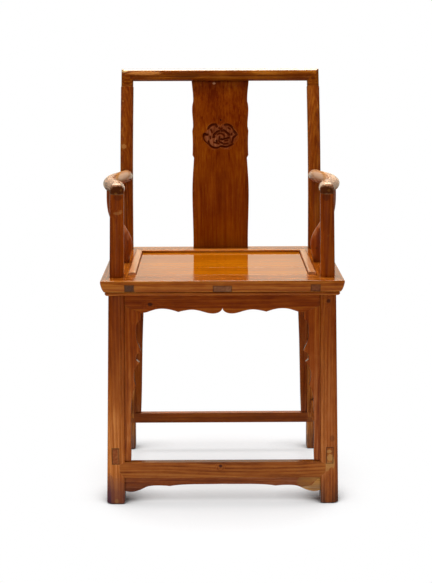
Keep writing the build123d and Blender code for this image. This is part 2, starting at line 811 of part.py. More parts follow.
# --- Aprons and spandrels ---------------------------------------------------------------------------
class Bay:
    """One side of the chair between two legs, in the plane of its panels' inner faces."""

    def __init__(self, plane, inner_at, low, legs, corner_width):
        self.plane = plane
        self.inner_at = inner_at
        self.low = low
        self.legs = legs
        self.corner_width = corner_width
        self.middle = (inner_at(frame_bottom, 1) + inner_at(frame_bottom, -1)) / 2

    def solid(self, face, thickness):
        """Sheet of a thickness, in the middle of a full panel's thickness."""
        start = self.plane.offset((panel_thickness - thickness) / 2)
        sheet = extrude(start * face, thickness)
        room = block((-seat_width, seat_width), (-seat_depth, seat_depth), (self.floor(), frame_bottom))
        return sheet & room

    def floor(self):
        """Lowest height of the bay's panels."""
        return self.low

    def panel(self, outline):
        """Panel cut to the legs, with its tongues."""
        body = self.solid(outline(panel_tongue_length), panel_thickness)
        for one in self.legs:
            body = body - one
        body = body.solids().sort_by(SortBy.VOLUME)[-1]
        return merged(body, self.tongue(outline, 0))

    def tongue(self, outline, clearance):
        """Thin sheet whose ends are the panel's tongues, or their grooves."""
        face = outline(panel_tongue_length + clearance)
        return self.solid(face, panel_tongue_thickness + 2 * clearance)

    def drop(self, runs):
        """Drop of an apron's corners below the seat frame."""
        return runs[-1][-1][1]

    def apron(self, runs):
        """Outline maker for the apron under the seat, mitred at both ends."""
        corner_z = frame_bottom - self.drop(runs)
        tip_z = corner_z + mitre_rise

        def outline(reach):
            edges = []
            tops = []
            for side in (1, -1):
                half = self.inner_at(frame_bottom, side) - side * self.corner_width - self.middle
                corner = (self.middle + half, corner_z)
                tip = (self.inner_at(tip_z, side) + side * reach, tip_z)
                top = (self.inner_at(frame_bottom, side) + side * reach, frame_bottom)
                waves = [[(self.middle + share * half, frame_bottom - drop) for share, drop in run]
                         for run in runs]
                edges += curved_edges(waves) + [Line(corner, tip), Line(tip, top)]
                tops.append(top)
            return make_face(Curve() + edges + [Line(*tops)])

        return outline

    def spandrel(self, runs, apron_runs, side):
        """Outline maker for the long spandrel on one side, from foot rail to mitre."""
        corner_z = frame_bottom - self.drop(apron_runs)
        tip_z = corner_z + mitre_rise
        rise = corner_z - self.low
        reference = self.inner_at(frame_bottom, side)

        def outline(reach):
            tip = (self.inner_at(tip_z, side) + side * reach, tip_z)
            foot = (self.inner_at(self.low, side) + side * reach, self.low)
            shaped = [[(reference - side * width, self.low + share * rise) for width, share in run]
                      for run in runs]
            edges = curved_edges(shaped)
            edges += [Line(shaped[-1][-1], foot), Line(foot, tip), Line(tip, shaped[0][0])]
            return make_face(Curve() + edges)

        return outline


class FootBay(Bay):
    """The front legs below the foot rail."""

    def floor(self):
        """The wavy board hangs free above the floor."""
        return 0

    def wavy(self):
        """Outline maker for the wavy board under the front foot rail."""
        lowest = self.low - self.drop([foot_apron_lobe])

        def outline(reach):
            edges = []
            tops = []
            for side in (1, -1):
                half = self.inner_at(self.low, side)
                runs = [foot_apron_edge, foot_apron_lobe]
                waves = [[(share * half, self.low - drop) for share, drop in run] for run in runs]
                foot = (self.inner_at(lowest, side) + side * reach, lowest)
                top = (half + side * reach, self.low)
                edges += curved_edges(waves) + [Line(waves[-1][-1], foot), Line(foot, top)]
                tops.append(top)
            return make_face(Curve() + edges + [Line(*tops)])

        return outline


def patch_prism():
    """Prism around the repair in the foot apron's right end."""
    half = front_leg_inner(front_stretcher_bottom)
    points = [(share * half, front_stretcher_bottom - drop) for share, drop in patch_outline]
    return extrude(Plane.XZ * flat_shape(points), seat_depth, both=True)


def upright_plane(top, lean):
    """Plane of a panel facing -Y, through a point and leaning back towards the floor."""
    return Plane(origin=top + Vector(0, lean, -1) * frame_bottom, x_dir=(1, 0, 0), z_dir=(0, -1, -lean))


def front_bay(legs):
    """Bay between the front legs, over the foot rail."""
    inner_face = front_leg_face(frame_bottom) + panel_setback + panel_thickness
    plane = upright_plane(Vector(0, inner_face, frame_bottom), 0)
    return Bay(plane, lambda z, side: side * front_leg_inner(z), foot_rail_top, legs,
               front_spandrel_corner[0][0])


def foot_bay(legs):
    """Bay between the front legs, under the foot rail."""
    inner_face = front_leg_face(front_stretcher_bottom) + foot_apron_setback + panel_thickness
    plane = upright_plane(Vector(0, inner_face, frame_bottom), 0)
    return FootBay(plane, lambda z, side: side * front_leg_inner(z), front_stretcher_bottom, legs, 0)


def rear_leg_half(z):
    """Half the width of a rear leg at a height."""
    return leg_size(z, rear_foot_size, rear_shoulder_size) / 2


def rear_bay(legs):
    """Bay between the rear legs."""
    inner_face = rear_axis(frame_bottom).Y - rear_leg_half(frame_bottom) + panel_setback + panel_thickness
    plane = upright_plane(Vector(0, inner_face, frame_bottom), rear_backward_splay)
    return Bay(plane, lambda z, side: side * (rear_axis(z).X - rear_leg_half(z)), rear_rail_top, legs,
               plain_corner_width)


def side_bay(legs):
    """Bay between the two right legs."""
    splay = (front_splay + rear_splay) / 2
    outer = front_axis(frame_bottom).X + leg_size(frame_bottom, front_foot_size, front_shoulder_size) / 2
    inner_face = outer - panel_setback - panel_thickness
    origin = Vector(inner_face + splay * frame_bottom, 0, 0)

    def inner_at(z, side):
        if side > 0:
            return rear_axis(z).Y - rear_leg_half(z)
        return front_post_y + leg_size(z, front_foot_size, front_shoulder_size) / 2

    plane = Plane(origin=origin, x_dir=(0, 1, 0), z_dir=(1, 0, splay))
    return Bay(plane, inner_at, side_rail_top, legs, plain_corner_width)


# --- Building -----------------------------------------------------------------------------------------
def panels(front_leg, rear_leg):
    """All aprons and spandrels but the left side's, and the grooves they need in the right legs."""
    front_legs = [front_leg, mirrored(front_leg)]
    rear_legs = [rear_leg, mirrored(rear_leg)]
    front = front_bay(front_legs)
    foot = foot_bay(front_legs)
    rear = rear_bay(rear_legs)
    side = side_bay([front_leg, rear_leg])
    front_apron_runs = [front_apron_inner, front_apron_outer]
    front_spandrel_runs = [front_spandrel_corner[:2], front_spandrel_corner[1:], front_spandrel_upper,
                           front_spandrel_notch, front_spandrel_hook, front_spandrel_lower,
                           front_spandrel_run]
    plain_runs = [plain_apron_edge]
    plain_spandrel = [plain_spandrel_edge]
    layout = [
        ("front_apron", front, front.apron(front_apron_runs)),
        ("front_spandrel_right", front, front.spandrel(front_spandrel_runs, front_apron_runs, 1)),
        ("front_stretcher_apron", foot, foot.wavy()),
        ("rear_apron", rear, rear.apron(plain_runs)),
        ("rear_spandrel_right", rear, rear.spandrel(plain_spandrel, plain_runs, 1)),
        ("side_apron_right", side, side.apron(plain_runs)),
        ("side_spandrel_right_front", side, side.spandrel(plain_spandrel, plain_runs, -1)),
        ("side_spandrel_right_rear", side, side.spandrel(plain_spandrel, plain_runs, 1)),
    ]
    pieces = {name: bay.panel(outline) for name, bay, outline in layout}
    grooves = [bay.tongue(outline, tenon_clearance) for _, bay, outline in layout]
    whole = pieces["front_stretcher_apron"]
    pieces["apron_end_patch"] = whole & patch_prism()
    pieces["front_stretcher_apron"] = whole - patch_prism()
    return pieces, grooves


def seat_frame():
    """The four rails of the seat frame but the left one, with their joints cut."""
    slab = frame_slab()
    front_outline, rear_outline, right_outline = rail_outlines()
    z_range = (0, overall_height)
    side_tenon = frame_tenon(tenon_clearance)
    tenons = [side_tenon, mirrored(side_tenon), batten_tenon(tenon_clearance)]
    holes = [front_upper(round_clearance), rear_upper(round_clearance)]
    holes += [mirrored(hole) for hole in holes] + frame_pegs(round_clearance)
    holes += [board_tongues(tenon_clearance), strip_seats()]
    front = slab & plan_prism(front_outline, z_range)
    rear = slab & plan_prism(rear_outline, z_range)
    right = slab & plan_prism(right_outline, z_range)
    right = merged(right, slab & frame_tenon(0))
    for cut in tenons + holes:
        front = front - cut
        rear = rear - cut
    rear = rear - splat_body(splat_crest_tenon, tenon_clearance)
    for cut in holes + [support_tenons(round_clearance)[0]]:
        right = right - cut
    batten = block((-batten_width / 2, batten_width / 2), (inner_front, inner_rear),
                   (board_bottom - batten_thickness, board_bottom))
    batten = merged(batten, slab & batten_tenon(0))
    for peg in frame_pegs(round_clearance):
        batten = batten - peg
    return {
        "seat_rail_front": front,
        "seat_rail_rear": rear,
        "seat_rail_right": right,
        "seat_batten": batten,
    }


def build():
    """Every piece of the chair by its name."""
    front_leg = leg(front_axis, front_foot_size, front_shoulder_size)
    rear_leg = leg(rear_axis, rear_foot_size, rear_shoulder_size)
    pieces, grooves = panels(front_leg, rear_leg)

    stretcher_shoulder, stretcher_tenon = front_stretcher_parts(tenon_clearance, front_foot_size)
    side_tenon = side_stretcher_tenon(tenon_clearance, rear_foot_size)
    front_end = front_axis(front_post_top)
    front_up = (front_end - front_axis(frame_bottom)).normalized()
    front_post = merged(front_leg, front_upper(0), top_tenon(front_end, front_up, 0))
    for cut in grooves + [stretcher_shoulder, stretcher_tenon, side_tenon, front_leg_grooves()]:
        front_post = front_post - cut
    rear_post = merged(rear_leg, rear_upper(0), top_tenon(back_end(), back_direction(), 0))
    for cut in grooves + [rear_stretcher_tenon(tenon_clearance), side_tenon, arm_tenon(round_clearance)]:
        rear_post = rear_post - cut

    arm = arm_solid() - front_upper(0) - rear_upper(0)
    arm = arm.solids().sort_by(SortBy.VOLUME)[-1]
    arm = arm - top_tenon(front_end, front_up, round_clearance) - support_tenons(round_clearance)[1]
    strut = arm_support() - arm_solid()
    strut = strut.solids().sort_by(SortBy.VOLUME)[-1]

    pieces["front_post_right"] = front_post
    pieces["rear_post_right"] = rear_post
    pieces["arm_right"] = merged(arm, arm_tenon(0))
    pieces["arm_support_right"] = merged(strut, *support_tenons(0))
    pieces["side_stretcher_right"] = side_stretcher(front_leg, rear_leg)
    pieces.update(seat_frame())
    pieces.update(seat_strips())
    pieces.update(seat_boards())
    pieces["crest_rail"] = crest_rail()
    pieces["back_splat"] = back_splat()
    pieces["front_stretcher"] = front_stretcher([front_leg, mirrored(front_leg)])
    pieces["rear_stretcher"] = rear_stretcher([rear_leg, mirrored(rear_leg)])
    pieces["joint_pegs"] = Part() + frame_pegs(0)
    for name in [name for name in pieces if "_right" in name]:
        pieces[name.replace("_right", "_left")] = mirrored(pieces[name])
    return pieces


os.makedirs("parts", exist_ok=True)
for name, piece in build().items():
    export_step(piece, "parts/" + name + ".step")
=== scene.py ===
"""Finishes and fine detail of a southern official's-hat armchair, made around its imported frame."""

import logging
import math
from dataclasses import dataclass, field, replace
from enum import Enum
from typing import Iterable, Sequence

import bmesh
import bpy
import numpy as np
from mathutils import Matrix, Vector
from mathutils.bvhtree import BVHTree


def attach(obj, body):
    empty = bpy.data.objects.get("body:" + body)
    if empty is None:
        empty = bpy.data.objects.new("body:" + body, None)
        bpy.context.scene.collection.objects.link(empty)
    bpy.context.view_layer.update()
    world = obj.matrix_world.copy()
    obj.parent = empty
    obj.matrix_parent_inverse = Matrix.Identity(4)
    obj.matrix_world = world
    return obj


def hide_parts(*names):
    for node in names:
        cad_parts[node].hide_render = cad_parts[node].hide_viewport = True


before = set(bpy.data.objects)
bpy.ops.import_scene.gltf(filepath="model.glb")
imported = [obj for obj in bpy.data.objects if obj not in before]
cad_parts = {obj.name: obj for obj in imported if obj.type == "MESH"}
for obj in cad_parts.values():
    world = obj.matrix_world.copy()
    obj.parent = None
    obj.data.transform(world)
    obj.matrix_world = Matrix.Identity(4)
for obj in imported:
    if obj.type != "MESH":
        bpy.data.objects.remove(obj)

LOG = logging.getLogger("armchair")
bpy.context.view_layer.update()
FLUSH_LAYER = "blend"
CAVITY_LAYER = "cavity"

Colour = tuple[float, float, float]
Point = tuple[float, float, float]
Pair = tuple[float, float]


# --- Shader nodes -----------------------------------------------------------------------------------
class Wire:
    """A value in a node tree that takes Python's arithmetic."""

    def __init__(self, net: "Net", socket: bpy.types.NodeSocket) -> None:
        """Wrap one output socket of a net."""
        self.net = net
        self.socket = socket

    def _math(self, operation: str, first: "Wire | float", second: "Wire | float" = 0.0) -> "Wire":
        """Add a Math node for one value or two."""
        return self.net.node("Math", {"operation": operation}, {0: first, 1: second})

    def __add__(self, other: "Wire | float") -> "Wire":
        """Sum of two values."""
        return self._math("ADD", self, other)

    __radd__ = __add__

    def __sub__(self, other: "Wire | float") -> "Wire":
        """Difference of two values."""
        return self._math("SUBTRACT", self, other)

    def __rsub__(self, other: float) -> "Wire":
        """Difference from a number."""
        return self._math("SUBTRACT", other, self)

    def __mul__(self, other: "Wire | float") -> "Wire":
        """Product of two values."""
        return self._math("MULTIPLY", self, other)

    __rmul__ = __mul__

    def __truediv__(self, other: "Wire | float") -> "Wire":
        """Quotient of two values."""
        return self._math("DIVIDE", self, other)

    def __abs__(self) -> "Wire":
        """Size of a value without its sign."""
        return self._math("ABSOLUTE", self)


class Net:
    """Builds one node tree."""

    def __init__(self, owner: bpy.types.Material | bpy.types.World) -> None:
        """Empty a node tree, to fill it afresh.

        Args:
            owner: The material or world that it belongs to.
        """
        owner.use_nodes = True
        self.tree = owner.node_tree
        self.tree.nodes.clear()

    def node(self, kind: str, settings: dict[str, object] | None = None,
             values: dict[int | str, object] | None = None, output: int | str = 0) -> Wire:
        """Add a node.

        Args:
            kind: Its type, without the ShaderNode prefix.
            settings: Properties that are set first; "stops" fills a colour ramp.
            values: What each input socket holds or is linked to; a colour is red, green and blue.
            output: The output socket that is returned.

        Returns:
            The chosen output.
        """
        made = self.tree.nodes.new("ShaderNode" + kind)
        for name, value in (settings or {}).items():
            if name == "stops":
                self._fill_ramp(made.color_ramp, value)
            else:
                setattr(made, name, value)
        for name, value in (values or {}).items():
            entry = made.inputs[name]
            if isinstance(value, Wire):
                self.tree.links.new(value.socket, entry)
            else:
                entry.default_value = (*value, 1.0) if entry.type == "RGBA" else value
        return Wire(self, made.outputs[output] if made.outputs else None)

    def _fill_ramp(self, ramp: bpy.types.ColorRamp, stops: Sequence[tuple[float, Colour]]) -> None:
        """Set a colour ramp's stops.

        Args:
            ramp: The ramp.
            stops: Place and colour of each stop, from first to last.
        """
        while len(ramp.elements) < len(stops):
            ramp.elements.new(1.0)
        for element, (place, colour) in zip(ramp.elements, stops):
            element.position = place
            element.color = (*colour, 1.0)

    def mix(self, share: Wire | float, first: Wire | Colour, second: Wire | Colour,
            blend: str = "MIX") -> Wire:
        """Blend two colours, by the share of the second one."""
        settings = {"data_type": "RGBA", "blend_type": blend}
        return self.node("Mix", settings, {0: share, 6: first, 7: second}, 2)

    def tint(self, share: Wire | float, first: Wire, second: Colour) -> Wire:
        """Multiply a colour by another, by a share."""
        return self.mix(share, first, second, "MULTIPLY")

    def step(self, value: Wire, low: float, high: float, start: float = 0.0, end: float = 1.0) -> Wire:
        """Smooth step of a value from start to end."""
        values = {"Value": value, "From Min": low, "From Max": high, "To Min": start, "To Max": end}
        return self.node("MapRange", {"interpolation_type": "SMOOTHSTEP"}, values)

    def fade(self, value: Wire, low: float, high: float) -> Wire:
        """Smooth step of a value from 1 down to 0."""
        return self.step(value, low, high, 1.0, 0.0)

    def vector(self, operation: str, first: object, second: object = (0.0, 0.0, 0.0),
               output: int | str = 0) -> Wire:
        """Add a Vector Math node."""
        return self.node("VectorMath", {"operation": operation}, {0: first, 1: second}, output)

    def length(self, point: Wire) -> Wire:
        """Distance of a point from the origin."""
        return self.vector("LENGTH", point, output="Value")

    def axis(self, point: Wire, name: str) -> Wire:
        """One coordinate of a point."""
        return self.node("SeparateXYZ", {}, {0: point}, name)

    def place(self) -> Wire:
        """Point on the piece, in metres."""
        return self.node("TexCoord", output="Object")

    def glow(self, kind: str, strength: Wire | float, colour: Colour = (1.0, 1.0, 1.0)) -> Wire:
        """Add an Emission or Background shader."""
        return self.node(kind, {}, {"Color": colour, "Strength": strength})

    def by_ray(self, output: str, lit: Wire, mirrored: Wire, seen: Wire) -> None:
        """End the tree with a shader for each kind of ray.

        Args:
            output: Kind of the output node.
            lit: Shader whose light falls on the chair.
            mirrored: Shader that reflections and glass show.
            seen: Shader that the camera sees.
        """
        glossy = self.node("LightPath", output="Is Glossy Ray")
        through = self.node("LightPath", output="Is Transmission Ray")
        side = self.node("MixShader", {}, {0: glossy + through, 1: lit, 2: mirrored})
        camera = self.node("LightPath", output="Is Camera Ray")
        surface = self.node("MixShader", {}, {0: camera, 1: side, 2: seen})
        self.node(output, {}, {"Surface": surface})


# --- Wood -------------------------------------------------------------------------------------------
class Grain(Enum):
    """Axis that a piece's grain runs along, as the turn that brings it to Z."""

    ALONG_X = (0.0, -math.pi / 2, 0.0)
    ALONG_Y = (math.pi / 2, 0.0, 0.0)
    ALONG_Z = (0.0, 0.0, 0.0)


class Side(Enum):
    """A side of the chair, as the sign of its X."""

    LEFT = -1
    RIGHT = 1


class Texture(Enum):
    """Noises in the wood, as waves per metre across and along the grain, detail and roughness."""

    BEND = (4.0, 1.5, 1.0, 0.5)
    RIPPLE = (34.0, 6.0, 2.0, 0.5)
    DRIFT = (13.0, 1.7, 2.0, 0.5)
    CLOUD = (48.0, 19.0, 3.0, 0.6)
    STREAK = (210.0, 4.2, 3.0, 0.6)
    VEIN = (150.0, 3.0, 2.0, 0.55)
    FIBRE = (1100.0, 32.0, 1.0, 0.5)
    PORE = (2100.0, 150.0, 1.0, 0.5)
    SCUFF = (240.0, 70.0, 2.0, 0.7)
    SMUDGE = (55.0, 11.0, 2.0, 0.5)
    RAGGED_RIM = (260.0, 260.0, 2.0, 0.5)
    CRUMBLE = (300.0, 300.0, 3.0, 0.7)
    RUBBING = (38.0, 38.0, 3.0, 0.65)
    HAZE = (85.0, 85.0, 2.0, 0.5)


@dataclass(frozen=True)
class Spot:
    """A round mark on a piece: a knot, a filled hole, a pale place, a painted highlight, a painted reflection
    or painted shade.

    Swirl is how many growth rings a knot pushes aside. Dull is the share of lacquer that is lost, and below 0
    it gives back what a spot under it took.
    """

    centre: Point
    size: Point
    colour: Colour
    strength: float
    swirl: float = 0.0
    dull: float = 0.0


@dataclass(frozen=True)
class Seam:
    """A dark line round a rectangle on a front face, such as the end of a through tenon.

    Centre and half size are those of the front view, and front is the face's Y.
    """

    centre: Pair
    half: Pair
    front: float
    fill: Colour
    fill_strength: float
    line_strength: float
    line: float = 0.0018


@dataclass(frozen=True)
class Lacquer:
    """Old lacquered wood of one tone.

    Deep, warm and pale are the grain's colours. Its rings are ring_pitch wide, wander by as many rings as
    bend says and darken by figure. Grit is the depth of the pores and the dust in the lacquer, and
    corner_darkening how much the sheltered corners, found by ambient occlusion, are darkened.
    bounce_and_dust_tone is what the colour is multiplied by low down: painted light of the floor's bounce,
    together with dust.
    """

    deep: Colour
    warm: Colour
    pale: Colour
    contrast: float = 1.0
    ring_pitch: float = 0.0065
    figure: float = 0.16
    bend: float = 4.0
    gloss: float = 0.16
    coat: float = 1.0
    coat_ior: float = 1.5
    wear: float = 0.5
    worn: Colour = (0.42, 0.16, 0.04)
    corner_darkening: float = 0.6
    grit: float = 0.16
    bounce_and_dust_tone: Colour = (1.0, 1.0, 1.0)


@dataclass(frozen=True)
class Cut:
    """How one piece was sawn from its log.

    Heart and seed place its middle beside the log's heart and along the log. Each spot lies over the one
    before. A carving's rim goes over to the finish that it is carved into.
    """

    grain: Grain
    heart: Pair
    seed: float
    spots: tuple[Spot, ...] = ()
    seams: tuple[Seam, ...] = ()
    carved_into: Lacquer | None = None


class WoodMaterial:
    """Makes the material of one wooden piece."""

    JOINT_LINE: Colour = (0.02, 0.004, 0.001)
    CARVED_HOLLOW: Colour = (0.050, 0.005, 0.0)
    FLOOR_DIRT: Colour = (0.40, 0.50, 1.5)
    CORNER_DARKENING: Colour = (0.28, 0.18, 0.12)
    BOUNCE_AND_DUST_HEIGHT: Pair = (0.10, 0.47)
    FLOOR_DIRT_HEIGHT = 0.09
    KNOT_SPREAD = 2.6
    EDGE_RADIUS = 0.0035
    CORNER_REACH = 0.014
    PORE_DEPTH = 0.0004

    def __init__(self, name: str, finish: Lacquer, cut: Cut, centre: Vector) -> None:
        """Start a material.

        Args:
            name: Its name, the same as its piece's.
            finish: Tone and gloss of the wood.
            cut: How the piece was sawn, and its own marks.
            centre: The piece's middle.
        """
        self.finish = finish
        self.cut = cut
        self.material = bpy.data.materials.new(name)
        self.net = Net(self.material)
        self.point = self.net.place()
        self.dull: Wire | float = 0.0
        turn = Matrix.Rotation(cut.grain.value[0], 3, "X") @ Matrix.Rotation(cut.grain.value[1], 3, "Y")
        shift = Vector((*cut.heart, cut.seed)) - turn @ centre
        self.local = self.net.node("Mapping", {"vector_type": "POINT"},
                                   {"Vector": self.point, "Location": shift, "Rotation": cut.grain.value})

    def _noise(self, texture: Texture, point: Wire) -> Wire:
        """Add one of the wood's noises.

        Args:
            texture: Which noise.
            point: Where it is read, along the grain or in the piece's own frame.

        Returns:
            Its value, from 0 to 1.
        """
        across, along, detail, rough = texture.value
        scaled = self.net.vector("MULTIPLY", point, (across, across, along))
        values = {"Vector": scaled, "Scale": 1.0, "Detail": detail, "Roughness": rough}
        return self.net.node("TexNoise", {}, values)

    def _rings(self) -> Wire:
        """Draw the growth rings.

        Returns:
            A saw-toothed band that rises through each year and drops where it ends.
        """
        net = self.net
        radius = net.length(net.vector("MULTIPLY", self.local, (1.0, 1.0, 0.0)))
        bend = self._noise(Texture.BEND, self.local) - 0.5
        ripple = self._noise(Texture.RIPPLE, self.local) - 0.5
        years = radius / self.finish.ring_pitch + bend * self.finish.bend + ripple * 1.1
        for spot in self.cut.spots:
            if spot.swirl:
                years = years + self._near(spot, self.KNOT_SPREAD) * spot.swirl
        band = net.node("Math", {"operation": "FRACT"}, {0: years})
        return net.step(band, 0.0, 0.82) - net.step(band, 0.86, 1.0)

    def _near(self, spot: Spot, spread: float = 1.0) -> Wire:
        """Measure how near a spot is.

        Args:
            spot: The mark.
            spread: How many times its size counts.

        Returns:
            Share from 1 in its middle to 0 at its rim.
        """
        offset = self.net.vector("SUBTRACT", self.point, spot.centre)
        scaled = self.net.vector("DIVIDE", offset, tuple(size * spread for size in spot.size))
        return self.net.fade(self.net.length(scaled), 0.35, 1.0)

    def _base(self) -> tuple[Wire, Wire]:
        """Draw the grain.

        Returns:
            Colour of the wood before its wear, and the height of its pores.
        """
        net, finish = self.net, self.finish
        rings = self._rings()
        drift = self._noise(Texture.DRIFT, self.local)
        cloud = self._noise(Texture.CLOUD, self.local)
        streak = self._noise(Texture.STREAK, self.local)
        vein = net.step(self._noise(Texture.VEIN, self.local), 0.56, 0.70)
        fibre = self._noise(Texture.FIBRE, self.local)
        pore = net.step(self._noise(Texture.PORE, self.local), 0.62, 0.72)
        shade = 0.5 + (drift - 0.5) * (1.5 * finish.contrast) + (cloud - 0.5) * (0.7 * finish.contrast)
        shade = shade + (streak - 0.5) * (1.25 * finish.contrast) + (fibre - 0.5) * 0.3
        shade = shade - vein * (0.30 * finish.contrast) - rings * finish.figure
        shade = shade - pore * 0.2 + 0.05 * finish.contrast
        stops = [(0.12, finish.deep), (0.5, finish.warm), (0.88, finish.pale)]
        colour = net.node("ValToRGB", {"stops": stops}, {0: shade + finish.figure / 2})
        height = fibre * 0.5 + streak * 0.5 - pore * 0.9 + rings * 0.25
        return colour, height

    def _marked(self, colour: Wire) -> Wire:
        """Add the piece's own knots, repairs and joint lines, its painted highlights, reflections and shade,
        and a carving's hollows.

        Args:
            colour: The plain wood.

        Returns:
            The marked wood.
        """
        net = self.net
        ragged = self._noise(Texture.RAGGED_RIM, self.point) - 0.5
        for spot in self.cut.spots:
            share = net.step(self._near(spot) + ragged * 0.9, 0.22, 0.75)
            colour = net.mix(share * spot.strength, colour, spot.colour)
            if spot.dull:
                self.dull = share * spot.dull + self.dull
        for seam in self.cut.seams:
            colour = self._seamed(colour, seam)
        if self.cut.carved_into:
            flush = net.node("Attribute", {"attribute_name": FLUSH_LAYER}, {}, "Fac")
            hollow = net.node("Attribute", {"attribute_name": CAVITY_LAYER}, {}, "Fac")
            colour = net.mix(flush, colour, self.cut.carved_into.warm)
            colour = net.mix(net.step(hollow, 0.06, 0.5), colour, self.CARVED_HOLLOW)
        return colour

    def _seamed(self, colour: Wire, seam: Seam) -> Wire:
        """Draw one seam.

        Args:
            colour: The wood under it.
            seam: The rectangle.

        Returns:
            The wood with the rectangle's fill and dark outline, on the front face only.
        """
        net = self.net
        side = abs(net.axis(self.point, "X") - seam.centre[0]) - seam.half[0]
        rise = abs(net.axis(self.point, "Z") - seam.centre[1]) - seam.half[1]
        outside = net.node("Math", {"operation": "MAXIMUM"}, {0: side, 1: rise})
        front = net.fade(net.axis(self.point, "Y"), seam.front + 0.008, seam.front + 0.014)
        ragged = self._noise(Texture.CRUMBLE, self.point)
        lighter = tuple(part * 1.6 for part in seam.fill)
        patchy = net.mix(net.step(ragged, 0.30, 0.72), seam.fill, lighter)
        inside = net.fade(outside, -0.0010, 0.0) * front
        colour = net.mix(inside * seam.fill_strength, colour, patchy)
        line = net.fade(abs(outside), seam.line * 0.45, seam.line) * front
        line = line * ((0.55 + ragged * 0.8) * seam.line_strength)
        return net.mix(line, colour, self.JOINT_LINE)

    def _edges(self) -> tuple[Wire, Wire]:
        """Find edges and corners.

        Returns:
            Shares of open edge and of sheltered corner.
        """
        net = self.net
        rounded = net.node("Bevel", {"samples": 6}, {"Radius": self.EDGE_RADIUS})
        normal = net.node("NewGeometry", output="Normal")
        turned = 1.0 - net.vector("DOT_PRODUCT", rounded, normal, "Value")
        edge = net.step(turned, 0.015, 0.16)
        open_share = net.node("AmbientOcclusion", {"samples": 8}, {"Distance": self.CORNER_REACH}, "AO")
        shelter = net.fade(open_share, 0.35, 0.9)
        return edge * (1.0 - shelter), shelter

    def build(self) -> bpy.types.Material:
        """Wire the whole material.

        Returns:
            The finished material.
        """
        net, finish = self.net, self.finish
        colour, height = self._base()
        high = net.axis(self.point, "Z")
        # Painted light of the floor's bounce, together with dust: low down the colour is multiplied by
        # bounce_and_dust_tone.
        colour = net.tint(net.fade(high, *self.BOUNCE_AND_DUST_HEIGHT), colour, finish.bounce_and_dust_tone)
        colour = self._marked(colour)
        edge, shelter = self._edges()
        patchy = self._noise(Texture.RUBBING, self.point)
        scuffs = net.step(self._noise(Texture.SCUFF, self.local), 0.64, 0.72)
        rubbed = edge * net.step(patchy, 0.36, 0.66) * finish.wear
        smudge = net.step(self._noise(Texture.SMUDGE, self.local), 0.42, 0.60)
        floor_dirt = net.fade(high, 0.0, self.FLOOR_DIRT_HEIGHT) * (0.3 + smudge * 0.7)
        colour = net.tint(floor_dirt, colour, self.FLOOR_DIRT)
        colour = net.mix(rubbed + scuffs * (0.2 * finish.wear), colour, finish.worn)
        # Sheltered corners, found by ambient occlusion, are darkened.
        colour = net.tint(shelter * (0.4 + patchy * 0.9) * finish.corner_darkening, colour, self.CORNER_DARKENING)
        haze = self._noise(Texture.HAZE, self.point)
        rough = 0.34 + net.step(haze, 0.5, 0.8) * 0.1 + rubbed * 0.22 + shelter * 0.25
        coat = finish.coat - rubbed * 0.35 - shelter * 0.4 - net.step(haze, 0.45, 0.75) * finish.grit
        bump = {"Strength": finish.grit, "Distance": self.PORE_DEPTH, "Height": height}
        surface = net.node("BsdfPrincipled", {}, {
            "Base Color": colour,
            "Roughness": rough,
            "IOR": 1.45,
            "Specular IOR Level": 0.0,
            "Coat Weight": coat * (1.0 - self.dull),
            "Coat Roughness": finish.gloss,
            "Coat IOR": finish.coat_ior,
            "Normal": net.node("Bump", {}, bump),
        })
        net.node("OutputMaterial", {}, {"Surface": surface})
        return self.material


# --- Finishes ---------------------------------------------------------------------------------------
# bounce_and_dust_tone brightens the lower parts, most of all on the rear posts: painted light of the floor's
# bounce, together with dust.
FRAME_LACQUER = Lacquer(deep=(0.115, 0.015, 0.0004), warm=(0.215, 0.036, 0.0010), pale=(0.33, 0.078, 0.005),
                        contrast=0.8, gloss=0.19, worn=(0.44, 0.19, 0.05), bounce_and_dust_tone=(1.75, 2.5, 9.0))
REAR_LACQUER = Lacquer(deep=(0.10, 0.013, 0.0004), warm=(0.190, 0.036, 0.0010), pale=(0.31, 0.088, 0.006),
                       contrast=0.75, gloss=0.19, worn=(0.44, 0.19, 0.05), bounce_and_dust_tone=(2.9, 4.9, 24.0))
STRUT_LACQUER = replace(FRAME_LACQUER, gloss=0.32, bounce_and_dust_tone=(1.0, 1.0, 1.0))
CREST_LACQUER = Lacquer(deep=(0.075, 0.011, 0.0003), warm=(0.145, 0.028, 0.001), pale=(0.29, 0.088, 0.006),
                        worn=(0.46, 0.20, 0.06), gloss=0.11, coat_ior=1.6)
RAIL_LACQUER = Lacquer(deep=(0.15, 0.026, 0.0008), warm=(0.31, 0.070, 0.004), pale=(0.45, 0.145, 0.016),
                       contrast=0.75, figure=0.30, ring_pitch=0.0075, bend=7.0, gloss=0.14, grit=0.06)
FOOT_LACQUER = Lacquer(deep=(0.16, 0.030, 0.001), warm=(0.35, 0.090, 0.009), pale=(0.50, 0.17, 0.026),
                       contrast=0.75, figure=0.22, ring_pitch=0.0075, bend=7.0, gloss=0.16)
REAR_FOOT_LACQUER = replace(FOOT_LACQUER, warm=(0.30, 0.062, 0.002), pale=(0.42, 0.12, 0.008), gloss=0.30,
                            coat=0.7)
PANEL_LACQUER = Lacquer(deep=(0.12, 0.014, 0.0005), warm=(0.245, 0.041, 0.0011), pale=(0.37, 0.096, 0.007),
                        contrast=0.75, bounce_and_dust_tone=(1.4, 1.9, 9.0))
SPLAT_LACQUER = Lacquer(deep=(0.095, 0.010, 0.0002), warm=(0.165, 0.027, 0.0005), pale=(0.24, 0.054, 0.0015),
                        contrast=0.85, figure=0.10, ring_pitch=0.0042, bend=2.5, gloss=0.12)
